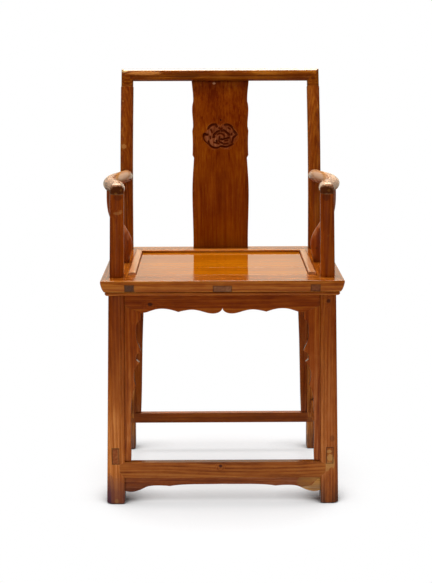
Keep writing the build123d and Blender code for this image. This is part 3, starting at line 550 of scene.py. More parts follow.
# The arms' pale, pinkish colour is partly the wood's and partly a painted sheen of the bright backdrop.
ARM_LACQUER_WITH_SHEEN = Lacquer(deep=(0.19, 0.070, 0.026), warm=(0.33, 0.145, 0.070), pale=(0.46, 0.25, 0.14),
                      contrast=0.9, gloss=0.25, coat_ior=1.6, grit=0.05, worn=(0.55, 0.36, 0.20))
BOARD_LACQUER = Lacquer(deep=(0.29, 0.064, 0.0006), warm=(0.41, 0.108, 0.0010), pale=(0.50, 0.155, 0.002),
                        contrast=0.6, figure=0.12, bend=6.0, gloss=0.04, wear=0.1, grit=0.03, corner_darkening=0.0)
# The strips' pale, pinkish colour is partly the wood's and partly a painted sheen on their rounded tops.
STRIP_LACQUER = Lacquer(deep=(0.34, 0.13, 0.042), warm=(0.46, 0.190, 0.075), pale=(0.56, 0.27, 0.12),
                        contrast=0.4, figure=0.08, gloss=0.22, worn=(0.55, 0.28, 0.10), corner_darkening=0.0)
PATCH_WOOD = Lacquer(deep=(0.40, 0.14, 0.018), warm=(0.60, 0.26, 0.048), pale=(0.70, 0.38, 0.10), gloss=0.2,
                     coat=0.5, wear=0.2)
BARE_WOOD = Lacquer(deep=(0.22, 0.08, 0.03), warm=(0.34, 0.15, 0.06), pale=(0.44, 0.23, 0.10), gloss=0.5,
                    coat=0.0, wear=0.3)
CARVED_LACQUER = Lacquer(deep=(0.075, 0.012, 0.002), warm=(0.160, 0.040, 0.012), pale=(0.27, 0.090, 0.036),
                         contrast=0.9, figure=0.04, wear=0.12, worn=(0.28, 0.09, 0.035), coat=0.0, corner_darkening=0.9)
# The left leg and left spandrels get more of this painted bounce light and dust than the right ones.
LEFT_LEG_LACQUER = replace(FRAME_LACQUER, contrast=0.65, bounce_and_dust_tone=(2.15, 3.35, 12.0))
RIGHT_LEG_LACQUER = replace(FRAME_LACQUER, contrast=0.7)
LEFT_PANEL_LACQUER = replace(PANEL_LACQUER, bounce_and_dust_tone=(1.75, 2.6, 10.0))
REAR_STRIP_LACQUER = replace(RAIL_LACQUER, coat=0.7, corner_darkening=1.0)


# --- Pieces -----------------------------------------------------------------------------------------
Layout = dict[str, tuple[Lacquer, Cut]]


def placed(name: str, data: bpy.types.ID) -> bpy.types.Object:
    """Put a new object in the scene.

    Args:
        name: Its name.
        data: Its mesh, lamp or camera.

    Returns:
        The object, at the origin.
    """
    made = bpy.data.objects.new(name, data)
    bpy.context.scene.collection.objects.link(made)
    return made


def meshed(name: str, bm: bmesh.types.BMesh) -> bpy.types.Mesh:
    """Turn a bmesh into a mesh.

    Args:
        name: The mesh's name.
        bm: The bmesh, which is freed.

    Returns:
        The mesh.
    """
    mesh = bpy.data.meshes.new(name)
    bm.to_mesh(mesh)
    bm.free()
    return mesh


@dataclass
class Worker:
    """Makes softened copies of CAD nodes and dresses pieces.

    Merge is the distance at which points are one. Flat, sharp and smooth are turns between two faces.
    """

    merge: float = 0.00001
    flat: float = math.radians(0.4)
    sharp: float = math.radians(32.0)
    smooth: float = math.radians(34.0)
    segments: int = 2

    def softened(self, node: str, width: float) -> bpy.types.Object:
        """Copy a CAD node as one merged mesh with its arrises taken off.

        Args:
            node: Name of the CAD node.
            width: How far each sharp edge is taken back.

        Returns:
            The new object, which stands for the node.
        """
        bm = bmesh.new()
        bm.from_mesh(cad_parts[node].data)
        bmesh.ops.remove_doubles(bm, verts=bm.verts, dist=self.merge)
        bmesh.ops.dissolve_degenerate(bm, edges=bm.edges, dist=self.merge)
        bmesh.ops.dissolve_limit(bm, angle_limit=self.flat, use_dissolve_boundaries=False,
                                 verts=bm.verts, edges=bm.edges)
        edges = [edge for edge in bm.edges
                 if len(edge.link_faces) == 2 and edge.calc_face_angle(0.0) > self.sharp]
        bmesh.ops.bevel(bm, geom=edges, offset=width, offset_type="OFFSET", affect="EDGES",
                        segments=self.segments, profile=0.5, material=-1, clamp_overlap=True)
        return self.finished(bm, node + "_wood", node)

    def finished(self, bm: bmesh.types.BMesh, name: str, *nodes: str) -> bpy.types.Object:
        """Turn a bmesh into a smooth piece that rides on the chair.

        Args:
            bm: The mesh, which is freed.
            name: Name of the piece.
            nodes: CAD nodes that the piece stands for.

        Returns:
            The new object.
        """
        mesh = meshed(name, bm)
        mesh.shade_smooth()
        mesh.set_sharp_from_angle(angle=self.smooth)
        piece = placed(name, mesh)
        weighted = piece.modifiers.new("flat faces", "WEIGHTED_NORMAL")
        weighted.mode = "FACE_AREA"
        weighted.keep_sharp = True
        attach(piece, "root")
        if nodes:
            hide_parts(*nodes)
        return piece

    def dress(self, piece: bpy.types.Object, finish: Lacquer, cut: Cut) -> None:
        """Give a piece its own wood.

        Args:
            piece: The piece.
            finish: Tone and gloss of its wood.
            cut: How it was sawn, and its own marks.
        """
        corners = [Vector(corner) for corner in piece.bound_box]
        centre = sum(corners, Vector()) / len(corners)
        material = WoodMaterial(piece.name, finish, cut, centre).build()
        piece.data.materials.clear()
        piece.data.materials.append(material)
        LOG.info("%s: %d faces", piece.name, len(piece.data.polygons))


WORKER = Worker()


@dataclass
class Assembly:
    """A group of CAD nodes that are softened alike."""

    arris: float = 0.0005
    pieces: dict[str, bpy.types.Object] = field(default_factory=dict)

    def layout(self) -> Layout:
        """Finish and cut of each node."""
        raise NotImplementedError

    def build(self) -> None:
        """Make each node's piece."""
        for node in self.layout():
            self.pieces[node] = WORKER.softened(node, self.arris)

    def dress(self) -> None:
        """Give each piece its wood."""
        for node, (finish, cut) in self.layout().items():
            WORKER.dress(self.pieces[node], finish, cut)


@dataclass
class SeatFrame(Assembly):
    """The mitred, moulded rails, with the ends of the side rails' and the bearer's through tenons."""

    arris: float = 0.0004
    front: float = -0.2406
    tenon_x: float = 0.208
    tenon_z: float = 0.5225
    tenon_half: Pair = (0.010, 0.0075)
    bearer_z: float = 0.5205
    bearer_half: Pair = (0.0205, 0.0075)

    def tenon(self, x: float, z: float, half: Pair, fill: Colour, strength: float) -> Seam:
        """End of a through tenon on the front face."""
        return Seam((x, z), half, self.front, fill, strength, strength)

    def layout(self) -> Layout:
        """Choose finish and cut of each rail.

        Returns:
            What each node is made of.
        """
        left = self.tenon(-self.tenon_x, self.tenon_z, self.tenon_half, (0.055, 0.026, 0.016), 0.9)
        right = self.tenon(self.tenon_x, self.tenon_z, self.tenon_half, (0.10, 0.032, 0.014), 0.7)
        bearer = self.tenon(0.0, self.bearer_z, self.bearer_half, (0.12, 0.042, 0.022), 0.65)
        front_seams = (left, right, bearer)
        return {
            "seat_rail_front": (RAIL_LACQUER, Cut(Grain.ALONG_X, (0.028, 0.012), 0.3, seams=front_seams)),
            "seat_rail_rear": (RAIL_LACQUER, Cut(Grain.ALONG_X, (0.07, 0.03), 2.1)),
            "seat_rail_left": (RAIL_LACQUER, Cut(Grain.ALONG_Y, (0.06, 0.02), 4.4, seams=(left,))),
            "seat_rail_right": (RAIL_LACQUER, Cut(Grain.ALONG_Y, (0.05, -0.03), 6.2, seams=(right,))),
            "seat_batten": (BARE_WOOD, Cut(Grain.ALONG_Y, (0.03, 0.03), 8.8, seams=(bearer,))),
            "joint_pegs": (BARE_WOOD, Cut(Grain.ALONG_Z, (0.01, 0.01), 9.9)),
        }


@dataclass
class SeatBoards(Assembly):
    """The two boards and the three raised strips round them."""

    def layout(self) -> Layout:
        """Choose finish and cut of each board and strip.

        Returns:
            What each node is made of.
        """
        return {
            "seat_board_front": (BOARD_LACQUER, Cut(Grain.ALONG_X, (0.11, 0.02), 1.3)),
            "seat_board_rear": (BOARD_LACQUER, Cut(Grain.ALONG_X, (0.15, 0.03), 3.7)),
            "seat_strip_rear": (REAR_STRIP_LACQUER, Cut(Grain.ALONG_X, (0.03, 0.02), 5.1)),
            "seat_strip_left": (STRIP_LACQUER, Cut(Grain.ALONG_Y, (0.03, 0.02), 6.5)),
            "seat_strip_right": (STRIP_LACQUER, Cut(Grain.ALONG_Y, (0.03, -0.02), 7.9)),
        }


@dataclass
class Posts(Assembly):
    """The four legs, each one timber with the post above it.

    The side foot rails' tenons come through the front ones. Dabs of filler hide the right tenon, each given
    by its x, its height, its reach across and up, and its strength.
    """

    front: float = -0.2100
    tenon_x: float = 0.2487
    tenon_z: float = 0.1185
    tenon_half: Pair = (0.0078, 0.0190)
    tenon_fill: Colour = (0.17, 0.036, 0.008)
    left_fill: float = 0.6
    right_fill: float = 0.0
    tenon_line: float = 0.7
    filler: Colour = (0.50, 0.225, 0.052)
    fillings_y: float = -0.2115
    fillings_depth: float = 0.04
    dabs: tuple[tuple[float, ...], ...] = (
        (0.2475, 0.1280, 0.0090, 0.0060, 0.8),
        (0.2495, 0.1130, 0.0100, 0.0130, 0.9),
        (0.2470, 0.0950, 0.0120, 0.0120, 0.85),
        (0.2400, 0.0850, 0.0120, 0.0090, 0.65),
        (0.2570, 0.1000, 0.0050, 0.0220, 0.7),
    )

    def tenon(self, side: Side) -> Seam:
        """Draw the end of a side foot rail's tenon on a front leg's face.

        Args:
            side: Which foot rail.

        Returns:
            Its seam.
        """
        place = (side.value * self.tenon_x, self.tenon_z)
        strength = self.left_fill if side is Side.LEFT else self.right_fill
        return Seam(place, self.tenon_half, self.front, self.tenon_fill, strength, self.tenon_line)

    def fillings(self) -> tuple[Spot, ...]:
        """Stopping over the right foot rail's tenon and below it."""
        return tuple(Spot((x, self.fillings_y, z), (across, self.fillings_depth, up), self.filler, strength)
                     for x, z, across, up, strength in self.dabs)

    def layout(self) -> Layout:
        """Choose finish and cut of each post.

        Returns:
            What each node is made of.
        """
        pale = (0.42, 0.18, 0.045)
        dark = (0.06, 0.012, 0.003)
        soil = (0.16, 0.050, 0.034)
        right_spots = (
            Spot((0.240, -0.2091, 0.486), (0.006, 0.02, 0.007), dark, 0.85, 1.4),
            Spot((0.2540, -0.2115, 0.1600), (0.0080, 0.04, 0.0120), dark, 0.35),
            # Dark at the joint under the arm's end: partly the joint, partly painted shade carried down from
            # the arm end.
            Spot((0.2313, -0.2060, 0.722), (0.012, 0.03, 0.012), dark, 0.6),
        ) + self.fillings()
        left_spots = (
            Spot((-0.2330, -0.2060, 0.687), (0.014, 0.02, 0.005), pale, 0.3, 0.8),
            Spot((-0.2260, -0.2060, 0.690), (0.006, 0.02, 0.006), pale, 0.35),
            # Dark at the joint under the arm's end: partly the joint, partly painted shade carried down from
            # the arm end.
            Spot((-0.2313, -0.2060, 0.722), (0.014, 0.03, 0.009), dark, 0.5),
            Spot((-0.2500, -0.2060, -0.010), (0.060, 0.08, 0.110), soil, 0.40, dull=0.2),
            Spot((-0.2520, -0.2060, 0.000), (0.045, 0.08, 0.055), soil, 0.35, dull=0.3),
            Spot((-0.2620, -0.2060, 0.030), (0.013, 0.06, 0.065), soil, 0.45),
            Spot((-0.2480, -0.2115, 0.007), (0.006, 0.02, 0.010), pale, 0.7),
        )
        rear_spots = (
            Spot((-0.2418, 0.170, 0.801), (0.010, 0.03, 0.008), pale, 0.6, 0.8),
            Spot((-0.2340, 0.215, 0.953), (0.004, 0.03, 0.006), pale, 0.5),
            Spot((-0.2440, 0.210, 0.912), (0.004, 0.03, 0.005), pale, 0.5),
        )
        left = Cut(Grain.ALONG_Z, (0.04, 0.05), 0.7, left_spots, (self.tenon(Side.LEFT),))
        right = Cut(Grain.ALONG_Z, (-0.05, 0.04), 2.9, right_spots, (self.tenon(Side.RIGHT),))
        return {
            "front_post_left": (LEFT_LEG_LACQUER, left),
            "front_post_right": (RIGHT_LEG_LACQUER, right),
            "rear_post_left": (REAR_LACQUER, Cut(Grain.ALONG_Z, (0.05, 0.05), 5.2, rear_spots)),
            "rear_post_right": (REAR_LACQUER, Cut(Grain.ALONG_Z, (-0.04, 0.06), 7.4)),
        }


@dataclass
class Back(Assembly):
    """The crest rail and the splat."""

    arris: float = 0.0007

    def layout(self) -> Layout:
        """Choose finish and cut of the crest rail and the splat.

        Returns:
            What each node is made of.
        """
        dark = (0.07, 0.02, 0.008)
        chip = Spot((-0.0155, 0.216, 0.954), (0.006, 0.02, 0.005), (0.42, 0.20, 0.10), 0.8)
        pit = Spot((0.001, 0.195, 0.8635), (0.0032, 0.02, 0.0032), (0.03, 0.004, 0.002), 1.0)
        joints = tuple(Spot((x, 0.225, 0.945), (0.006, 0.03, 0.009), dark, 0.7) for x in (-0.2237, 0.2294))
        rubbed = (
            # First a painted highlight along the top of the crest rail's left part, then a rubbed patch at
            # its left end and a darker patch.
            Spot((-0.190, 0.225, 0.980), (0.070, 0.04, 0.0075), (0.46, 0.17, 0.035), 0.7),
            Spot((-0.2425, 0.225, 0.985), (0.014, 0.04, 0.0050), (0.62, 0.40, 0.16), 0.7),
            Spot((-0.085, 0.225, 0.976), (0.055, 0.04, 0.0160), (0.10, 0.022, 0.002), 0.6),
        )
        return {
            "crest_rail": (CREST_LACQUER, Cut(Grain.ALONG_X, (0.05, 0.04), 1.9, joints + rubbed)),
            "back_splat": (SPLAT_LACQUER, Cut(Grain.ALONG_Z, (0.16, 0.04), 3.3, (chip, pit))),
        }


@dataclass
class Arms(Assembly):
    """The arms and the struts under them."""

    arris: float = 0.0004

    def layout(self) -> Layout:
        """Choose finish and cut of each arm and strut.

        Returns:
            What each node is made of.
        """
        dark = (0.060, 0.011, 0.0003)
        painted_sheen = (0.40, 0.215, 0.125)
        amber_and_post_reflection = (0.30, 0.12, 0.018)
        light = (0.34, 0.11, 0.035)
        left = (
            # Painted shade: the front of the arm's turned-down end is darkened and its lacquer dulled.
            Spot((-0.2315, -0.207, 0.7320), (0.0300, 0.060, 0.0240), dark, 0.97, dull=0.85),
            Spot((-0.2300, -0.212, 0.7530), (0.0150, 0.018, 0.0070), amber_and_post_reflection, 0.7, dull=0.6),
            Spot((-0.2245, -0.214, 0.7380), (0.0050, 0.024, 0.0045), amber_and_post_reflection, 0.3),
            Spot((-0.2360, -0.214, 0.7310), (0.0060, 0.024, 0.0040), amber_and_post_reflection, 0.35),
            # Painted reflection of the rear post on the arm's top, amber and dulled, with a painted pinkish
            # sheen inside it.
            Spot((-0.2350, 0.045, 0.7410), (0.0260, 0.150, 0.0240), amber_and_post_reflection, 0.85, dull=0.75),
            Spot((-0.2340, 0.050, 0.7400), (0.0190, 0.120, 0.0180), painted_sheen, 0.85, dull=-0.6),
        )
        right = (
            # Painted shade on the front of the arm's turned-down end, as on the left.
            Spot((0.2317, -0.207, 0.7310), (0.0300, 0.060, 0.0230), dark, 0.97, dull=0.85),
            Spot((0.2290, -0.212, 0.7525), (0.0150, 0.018, 0.0070), amber_and_post_reflection, 0.6, dull=0.6),
            Spot((0.2370, -0.214, 0.7370), (0.0060, 0.024, 0.0050), amber_and_post_reflection, 0.25),
            Spot((0.2260, -0.214, 0.7300), (0.0050, 0.024, 0.0050), (0.04, 0.008, 0.0005), 0.6),
            # Painted reflection of the rear post, with painted sheen inside it, as on the left arm.
            Spot((0.2350, 0.045, 0.7410), (0.0250, 0.140, 0.0230), amber_and_post_reflection, 0.8, dull=0.7),
            Spot((0.2340, 0.050, 0.7400), (0.0185, 0.112, 0.0175), painted_sheen, 0.85, dull=-0.55),
        )
        left_strut = (
            # Painted highlights along the strut's upper inner edge.
            Spot((-0.2290, -0.02, 0.622), (0.006, 0.05, 0.014), light, 0.7),
            Spot((-0.2230, -0.02, 0.604), (0.005, 0.05, 0.012), light, 0.5),
        )
        right_strut = (
            # Painted highlights along the strut's upper inner edge, and then a small dark mark.
            Spot((0.2330, -0.02, 0.630), (0.007, 0.05, 0.011), light, 0.8),
            Spot((0.2230, -0.02, 0.613), (0.007, 0.05, 0.012), light, 0.6),
            Spot((0.2270, -0.02, 0.575), (0.004, 0.05, 0.004), dark, 0.7),
        )
        return {
            "arm_left": (ARM_LACQUER_WITH_SHEEN, Cut(Grain.ALONG_Y, (0.04, 0.05), 1.1, left)),
            "arm_right": (ARM_LACQUER_WITH_SHEEN, Cut(Grain.ALONG_Y, (0.05, -0.04), 3.2, right)),
            "arm_support_left": (STRUT_LACQUER, Cut(Grain.ALONG_Z, (0.03, 0.04), 5.5, left_strut)),
            "arm_support_right": (STRUT_LACQUER, Cut(Grain.ALONG_Z, (0.04, 0.03), 7.7, right_strut)),
        }


@dataclass
class FootRails(Assembly):
    """The foot rails between the legs."""

    arris: float = 0.001

    def layout(self) -> Layout:
        """Choose finish and cut of each foot rail.

        Returns:
            What each node is made of.
        """
        knot = Spot((-0.0052, -0.2115, 0.094), (0.0055, 0.02, 0.0055), (0.06, 0.015, 0.006), 0.9, 1.6)
        legs = Posts()
        left = Cut(Grain.ALONG_Y, (0.03, 0.04), 4.9, seams=(legs.tenon(Side.LEFT),))
        right = Cut(Grain.ALONG_Y, (0.04, -0.03), 6.9, legs.fillings(), (legs.tenon(Side.RIGHT),))
        return {
            "front_stretcher": (FOOT_LACQUER, Cut(Grain.ALONG_X, (0.03, 0.03), 0.9, (knot,))),
            "rear_stretcher": (REAR_FOOT_LACQUER, Cut(Grain.ALONG_X, (0.03, 0.05), 2.7)),
            "side_stretcher_left": (FRAME_LACQUER, left),
            "side_stretcher_right": (FRAME_LACQUER, right),
        }


@dataclass
class Panels(Assembly):
    """The aprons and spandrels between the legs, and the repair at the foot."""

    arris: float = 0.0007
    seed_step: float = 1.37

    def layout(self) -> Layout:
        """Choose finish and cut of each panel.

        Returns:
            What each node is made of.
        """
        knot = Spot((-0.1637, -0.2055, 0.4788), (0.008, 0.02, 0.006), (0.05, 0.013, 0.006), 0.9, 1.8)
        repair = (
            Spot((0.208, -0.205, 0.066), (0.040, 0.06, 0.022), (0.48, 0.20, 0.038), 0.95),
            Spot((0.192, -0.205, 0.052), (0.026, 0.06, 0.020), (0.42, 0.16, 0.028), 0.8),
        )
        made = {
            "front_apron": (PANEL_LACQUER, Cut(Grain.ALONG_X, (0.03, 0.05), 1.7, (knot,))),
            "front_stretcher_apron": (PANEL_LACQUER, Cut(Grain.ALONG_X, (0.04, 0.03), 3.9, repair)),
            "apron_end_patch": (PATCH_WOOD, Cut(Grain.ALONG_X, (0.02, 0.03), 5.8)),
            "rear_apron": (PANEL_LACQUER, Cut(Grain.ALONG_X, (0.05, 0.04), 7.1)),
            "side_apron_left": (PANEL_LACQUER, Cut(Grain.ALONG_Y, (0.04, 0.05), 8.3)),
            "side_apron_right": (PANEL_LACQUER, Cut(Grain.ALONG_Y, (0.05, 0.05), 9.4)),
        }
        spandrels = [node for node in sorted(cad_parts) if "spandrel" in node]
        for count, node in enumerate(spandrels):
            finish = LEFT_PANEL_LACQUER if "left" in node else PANEL_LACQUER
            made[node] = (finish, Cut(Grain.ALONG_Z, (0.03, 0.04), self.seed_step * count))
        return made


@dataclass
class Medallion:
    """The carved ornament that lies in the splat's lobed recess.

    Each lobe is the start, middle and end of an arc in the front view, from the top notch clockwise. The disc
    that is carved has as many points as spokes and rings say, a gap round its rim and a wall that goes back
    into the recess. Bowl is the roundness of a channel's section, and the wood beside it is rounded off as
    far as its shoulder. From flush_start, a share of the radius, the carving's colour goes over to the
    splat's. The splat's face is found at probe_x, beside the recess.
    """

    height: float = 0.8239
    lobes: tuple[tuple[Pair, Pair, Pair], ...] = (
        ((0.0, 0.024), (0.019, 0.033), (0.033, 0.017)),
        ((0.033, 0.017), (0.0445, 0.0), (0.034, -0.018)),
        ((0.034, -0.018), (0.020, -0.033), (0.0, -0.0265)),
    )
    arc_steps: int = 40
    spokes: int = 288
    rings: int = 72
    recess: float = 0.0025
    level: float = 0.0001
    gap: float = 0.00012
    breadth: float = 1.12
    bowl: float = 1.5
    rounding: float = 0.0011
    shoulder: float = 0.0065
    full_hollow: float = 0.0018
    flush_start: float = 0.84
    flush_width: float = 0.15
    tilt_reach: float = 0.04
    probe_x: float = 0.058
    grain: tuple[Pair, float] = ((0.16, 0.04), 3.3)

    def _arc(self, start: Vector, through: Vector, end: Vector) -> list[Vector]:
        """Draw the arc through three points of the front view.

        Args:
            start: Its first point.
            through: A point on its way.
            end: Its last point.

        Returns:
            Points along it, both ends among them.
        """
        first, second = through - start, end - start
        cross = first.x * second.y - first.y * second.x
        across = Vector((second.y * first.length_squared - first.y * second.length_squared,
                         first.x * second.length_squared - second.x * first.length_squared))
        centre = start + across / (2 * cross)
        radius = (start - centre).length
        first_angle, last_angle = [math.atan2(*(point - centre).yx) for point in (start, end)]
        turn = -1 if cross < 0 else 1
        sweep = (last_angle - first_angle) * turn % (2 * math.pi) * turn
        angles = [first_angle + sweep * index / self.arc_steps for index in range(self.arc_steps + 1)]
        return [centre + Vector((math.cos(angle), math.sin(angle))) * radius for angle in angles]

    def outline(self) -> list[Vector]:
        """Draw the lobed outline.

        Returns:
            Its points in the front view, from the top notch clockwise.
        """
        right: list[Vector] = []
        for lobe in self.lobes:
            right += self._arc(*[Vector(point) for point in lobe])
        return right + [Vector((-point.x, point.y)) for point in reversed(right)]

    def radius_at(self, angle: float, outline: Sequence[Vector]) -> float:
        """Measure from the middle to the outline in one direction.

        Args:
            angle: The direction, from the right.
            outline: Points of the closed outline.

        Returns:
            Distance to the farthest place where the outline is crossed.
        """
        way = Vector((math.cos(angle), math.sin(angle)))
        best = 0.0
        for first, second in zip(outline, [*outline[1:], outline[0]]):
            edge = second - first
            cross = way.x * edge.y - way.y * edge.x
            if abs(cross) < 1e-12:
                continue
            reach = (first.x * edge.y - first.y * edge.x) / cross
            share = (first.x * way.y - first.y * way.x) / cross
            if reach > 0 and -1e-6 <= share <= 1 + 1e-6:
                best = max(best, reach)
        return best

    def channels(self) -> list[tuple[list[Vector], float, float]]:
        """List the carved channels, drawn in millimetres from the ornament's middle.

        Returns:
            Line in the front view, half width and depth of each, in metres.
        """
        lines = [
            ([(-31, 19), (-27, 24), (-20, 28), (-12, 28.5), (-9.5, 24)], 2.6, 2.2),
            ([(12, 27.5), (17, 28.5), (22, 27), (27, 24.5), (31, 20.5), (34, 16)], 2.4, 2.2),
            ([(35.5, 11), (38, 7.5), (41, 4)], 2.5, 2.2),
            ([(37.5, 0), (34, -2.5), (31.5, -7), (31, -11), (29.5, -15)], 2.0, 1.9),
            ([(32, -19.5), (27, -22.5), (21, -25)], 1.8, 1.5),
            ([(17, -26), (12, -27), (6, -25.5), (2, -25)], 2.3, 2.2),
            ([(2, -25), (-4, -28), (-9, -29.5), (-15, -29), (-20, -27.5), (-25, -24), (-29, -19.5),
              (-30, -13)], 2.0, 2.0),
            ([(-43, -1), (-41.5, 4), (-39, 5.5), (-36, 3.5), (-33, 3.5)], 2.5, 2.3),
            ([(-42.5, -4), (-41, -10), (-37, -15.5), (-33, -18)], 1.8, 1.4),
            ([(-17, 2), (-13, 6), (-8, 10.5), (-3, 12.5)], 2.2, 2.0),
            ([(3, 13), (8, 14), (13, 11), (17, 8), (20, 5), (22, 2.5)], 2.4, 2.2),
            ([(-18, -2.5), (-15, -2)], 2.2, 2.0),
            ([(-3, -2), (-2.5, -5), (-3, -8)], 1.6, 1.7),
            ([(-4, -11), (-1.5, -15)], 1.6, 1.8),
            ([(-10, -11), (-9, -15)], 2.0, 2.0),
            ([(-16, -15.5), (-10, -17.5), (-4, -18.5)], 1.4, 1.4),
            ([(2, -16), (5, -17.5)], 1.8, 1.9),
            ([(2, -8), (5.5, -8.5)], 2.2, 2.1),
            ([(9, -6.5), (15, -6), (21, -4.5)], 1.9, 2.1),
            ([(12, -12), (18, -10.5)], 1.3, 1.2),
            ([(-7, 4), (-3, 6.5), (2, 6.5), (7, 4), (10, 0)], 1.2, 1.3),
            ([(20, 20), (25, 17)], 1.3, 1.3),
            ([(28, 6), (27.5, 3)], 1.8, 1.5),
            ([(-26, -1), (-25, -6)], 1.6, 1.1),
            ([(-3, 20), (0, 17), (4, 19)], 2.2, 1.2),
            ([(-24, 16), (-21, 9)], 1.4, 1.0),
            ([(7, -20), (18, -19)], 1.2, 1.2),
        ]
        return [([Vector(point) / 1000 for point in points], half / 1000, deep / 1000)
                for points, half, deep in lines]

    def carving(self, points: np.ndarray) -> np.ndarray:
        """Find how deep the channels and their rounded shoulders are.

        Args:
            points: Places in the front view.

        Returns:
            Depth at each of them.
        """
        deepest = np.zeros(len(points))
        for line, half, deep in self.channels():
            near = np.full(len(points), np.inf)
            for first, second in zip(line, line[1:]):
                near = np.minimum(near, self._distance(points, np.array(first), np.array(second)))
            share = near / (half * self.breadth)
            channel = deep * np.clip(1.0 - share * share / self.bowl, 0.0, 1.0)
            shoulder = self.rounding * np.clip(1.0 - near / self.shoulder, 0.0, 1.0) ** 2
            deepest = np.maximum(deepest, np.maximum(channel, shoulder))
        return deepest

    def _distance(self, points: np.ndarray, first: np.ndarray, second: np.ndarray) -> np.ndarray:
        """Measure from points to a segment.

        Args:
            points: The points.
            first: One end of the segment.
            second: Its other end.

        Returns:
            Each point's distance.
        """
        edge = second - first
        share = np.clip((points - first) @ edge / max(edge @ edge, 1e-12), 0.0, 1.0)
        return np.linalg.norm(points - first - share[:, None] * edge, axis=1)

    def face(self, z: float, splat: BVHTree) -> float:
        """Y of the splat's face at a height."""
        return splat.ray_cast(Vector((self.probe_x, -1.0, z)), Vector((0, 1, 0)))[0].y

    def _disc(self) -> tuple[bmesh.types.BMesh, list[Vector]]:
        """Spin a disc of rings and spokes, one metre in radius.

        Returns:
            The disc, and the place inside the outline that each of its points is meant for.
        """
        bm = bmesh.new()
        verts = [bm.verts.new((ring / self.rings, 0, 0)) for ring in range(self.rings + 1)]
        edges = [bm.edges.new(pair) for pair in zip(verts, verts[1:])]
        bmesh.ops.spin(bm, geom=verts + edges, cent=(0, 0, 0), axis=(0, 1, 0), angle=2 * math.pi,
                       steps=self.spokes, use_merge=True)
        bmesh.ops.remove_doubles(bm, verts=bm.verts, dist=1e-6)
        outline = self.outline()
        reach: dict[int, float] = {}
        flat = []
        for vert in bm.verts:
            angle = math.atan2(vert.co.z, vert.co.x)
            spoke = round(angle / (2 * math.pi) * self.spokes)
            if spoke not in reach:
                reach[spoke] = self.radius_at(angle, outline) - self.gap
            flat.append(Vector((vert.co.x, vert.co.z)) * reach[spoke])
        return bm, flat

    def _carve(self, bm: bmesh.types.BMesh, flat: Sequence[Vector], splat: BVHTree) -> None:
        """Lay the disc on the splat's face and cut its channels.

        Args:
            bm: The disc, which also gets the layers that its wood reads.
            flat: Place of each of its points in the front view.
            splat: The splat's surface.
        """
        cavity = bm.verts.layers.float.new(CAVITY_LAYER)
        flush = bm.verts.layers.float.new(FLUSH_LAYER)
        low = self.face(self.height - self.tilt_reach, splat)
        high = self.face(self.height + self.tilt_reach, splat)
        normal = Vector((0, -2 * self.tilt_reach, high - low)).normalized()
        for vert, spot, deep in zip(bm.verts, flat, self.carving(np.array(flat))):
            share = (math.hypot(vert.co.x, vert.co.z) - self.flush_start) / self.flush_width
            vert[flush] = min(1.0, max(0.0, share))
            vert[cavity] = min(1.0, deep / self.full_hollow)
            z = self.height + spot.y
            vert.co = Vector((spot.x, self.face(z, splat), z)) + normal * (self.level - deep)

    def _wall(self, bm: bmesh.types.BMesh, splat: BVHTree) -> None:
        """Take the rim back into the recess and close the ornament behind.

        Args:
            bm: The carved disc.
            splat: The splat's surface.
        """
        rim = [edge for edge in bm.edges if edge.is_boundary]
        skirt = bmesh.ops.extrude_edge_only(bm, edges=rim)["geom"]
        for vert in [item for item in skirt if isinstance(item, bmesh.types.BMVert)]:
            vert.co.y = self.face(vert.co.z, splat) + self.recess
        bmesh.ops.contextual_create(bm, geom=[edge for edge in bm.edges if edge.is_boundary])
        bmesh.ops.recalc_face_normals(bm, faces=bm.faces)

    def build(self) -> bpy.types.Object:
        """Carve the ornament.

        Returns:
            The new piece.
        """
        board = bmesh.new()
        board.from_mesh(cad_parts["back_splat"].data)
        splat = BVHTree.FromBMesh(board)
        bm, flat = self._disc()
        self._carve(bm, flat, splat)
        self._wall(bm, splat)
        board.free()
        piece = WORKER.finished(bm, "splat_medallion")
        return piece

    def dress(self, piece: bpy.types.Object) -> None:
        """Give the carving its wood."""
        WORKER.dress(piece, CARVED_LACQUER, Cut(Grain.ALONG_Z, *self.grain, carved_into=SPLAT_LACQUER))


# --- Studio -----------------------------------------------------------------------------------------
@dataclass(frozen=True)
class Lamp:
    """A soft rectangular lamp, turned to the point at the height aim over the floor's middle."""

    name: str
    place: Point
    aim: float
    size: Pair
    power: float

    def hang(self) -> None:
        """Put the lamp in the scene."""
        data = bpy.data.lights.new(self.name, "AREA")
        data.shape = "RECTANGLE"
        data.size, data.size_y = self.size
        data.energy = self.power
        lamp = placed(self.name, data)
        lamp.visible_glossy = False
        lamp.visible_camera = False
        lamp.location = self.place
        way = Vector((0.0, 0.0, self.aim)) - Vector(self.place)
        lamp.rotation_euler = way.to_track_quat("-Z", "Y").to_euler()


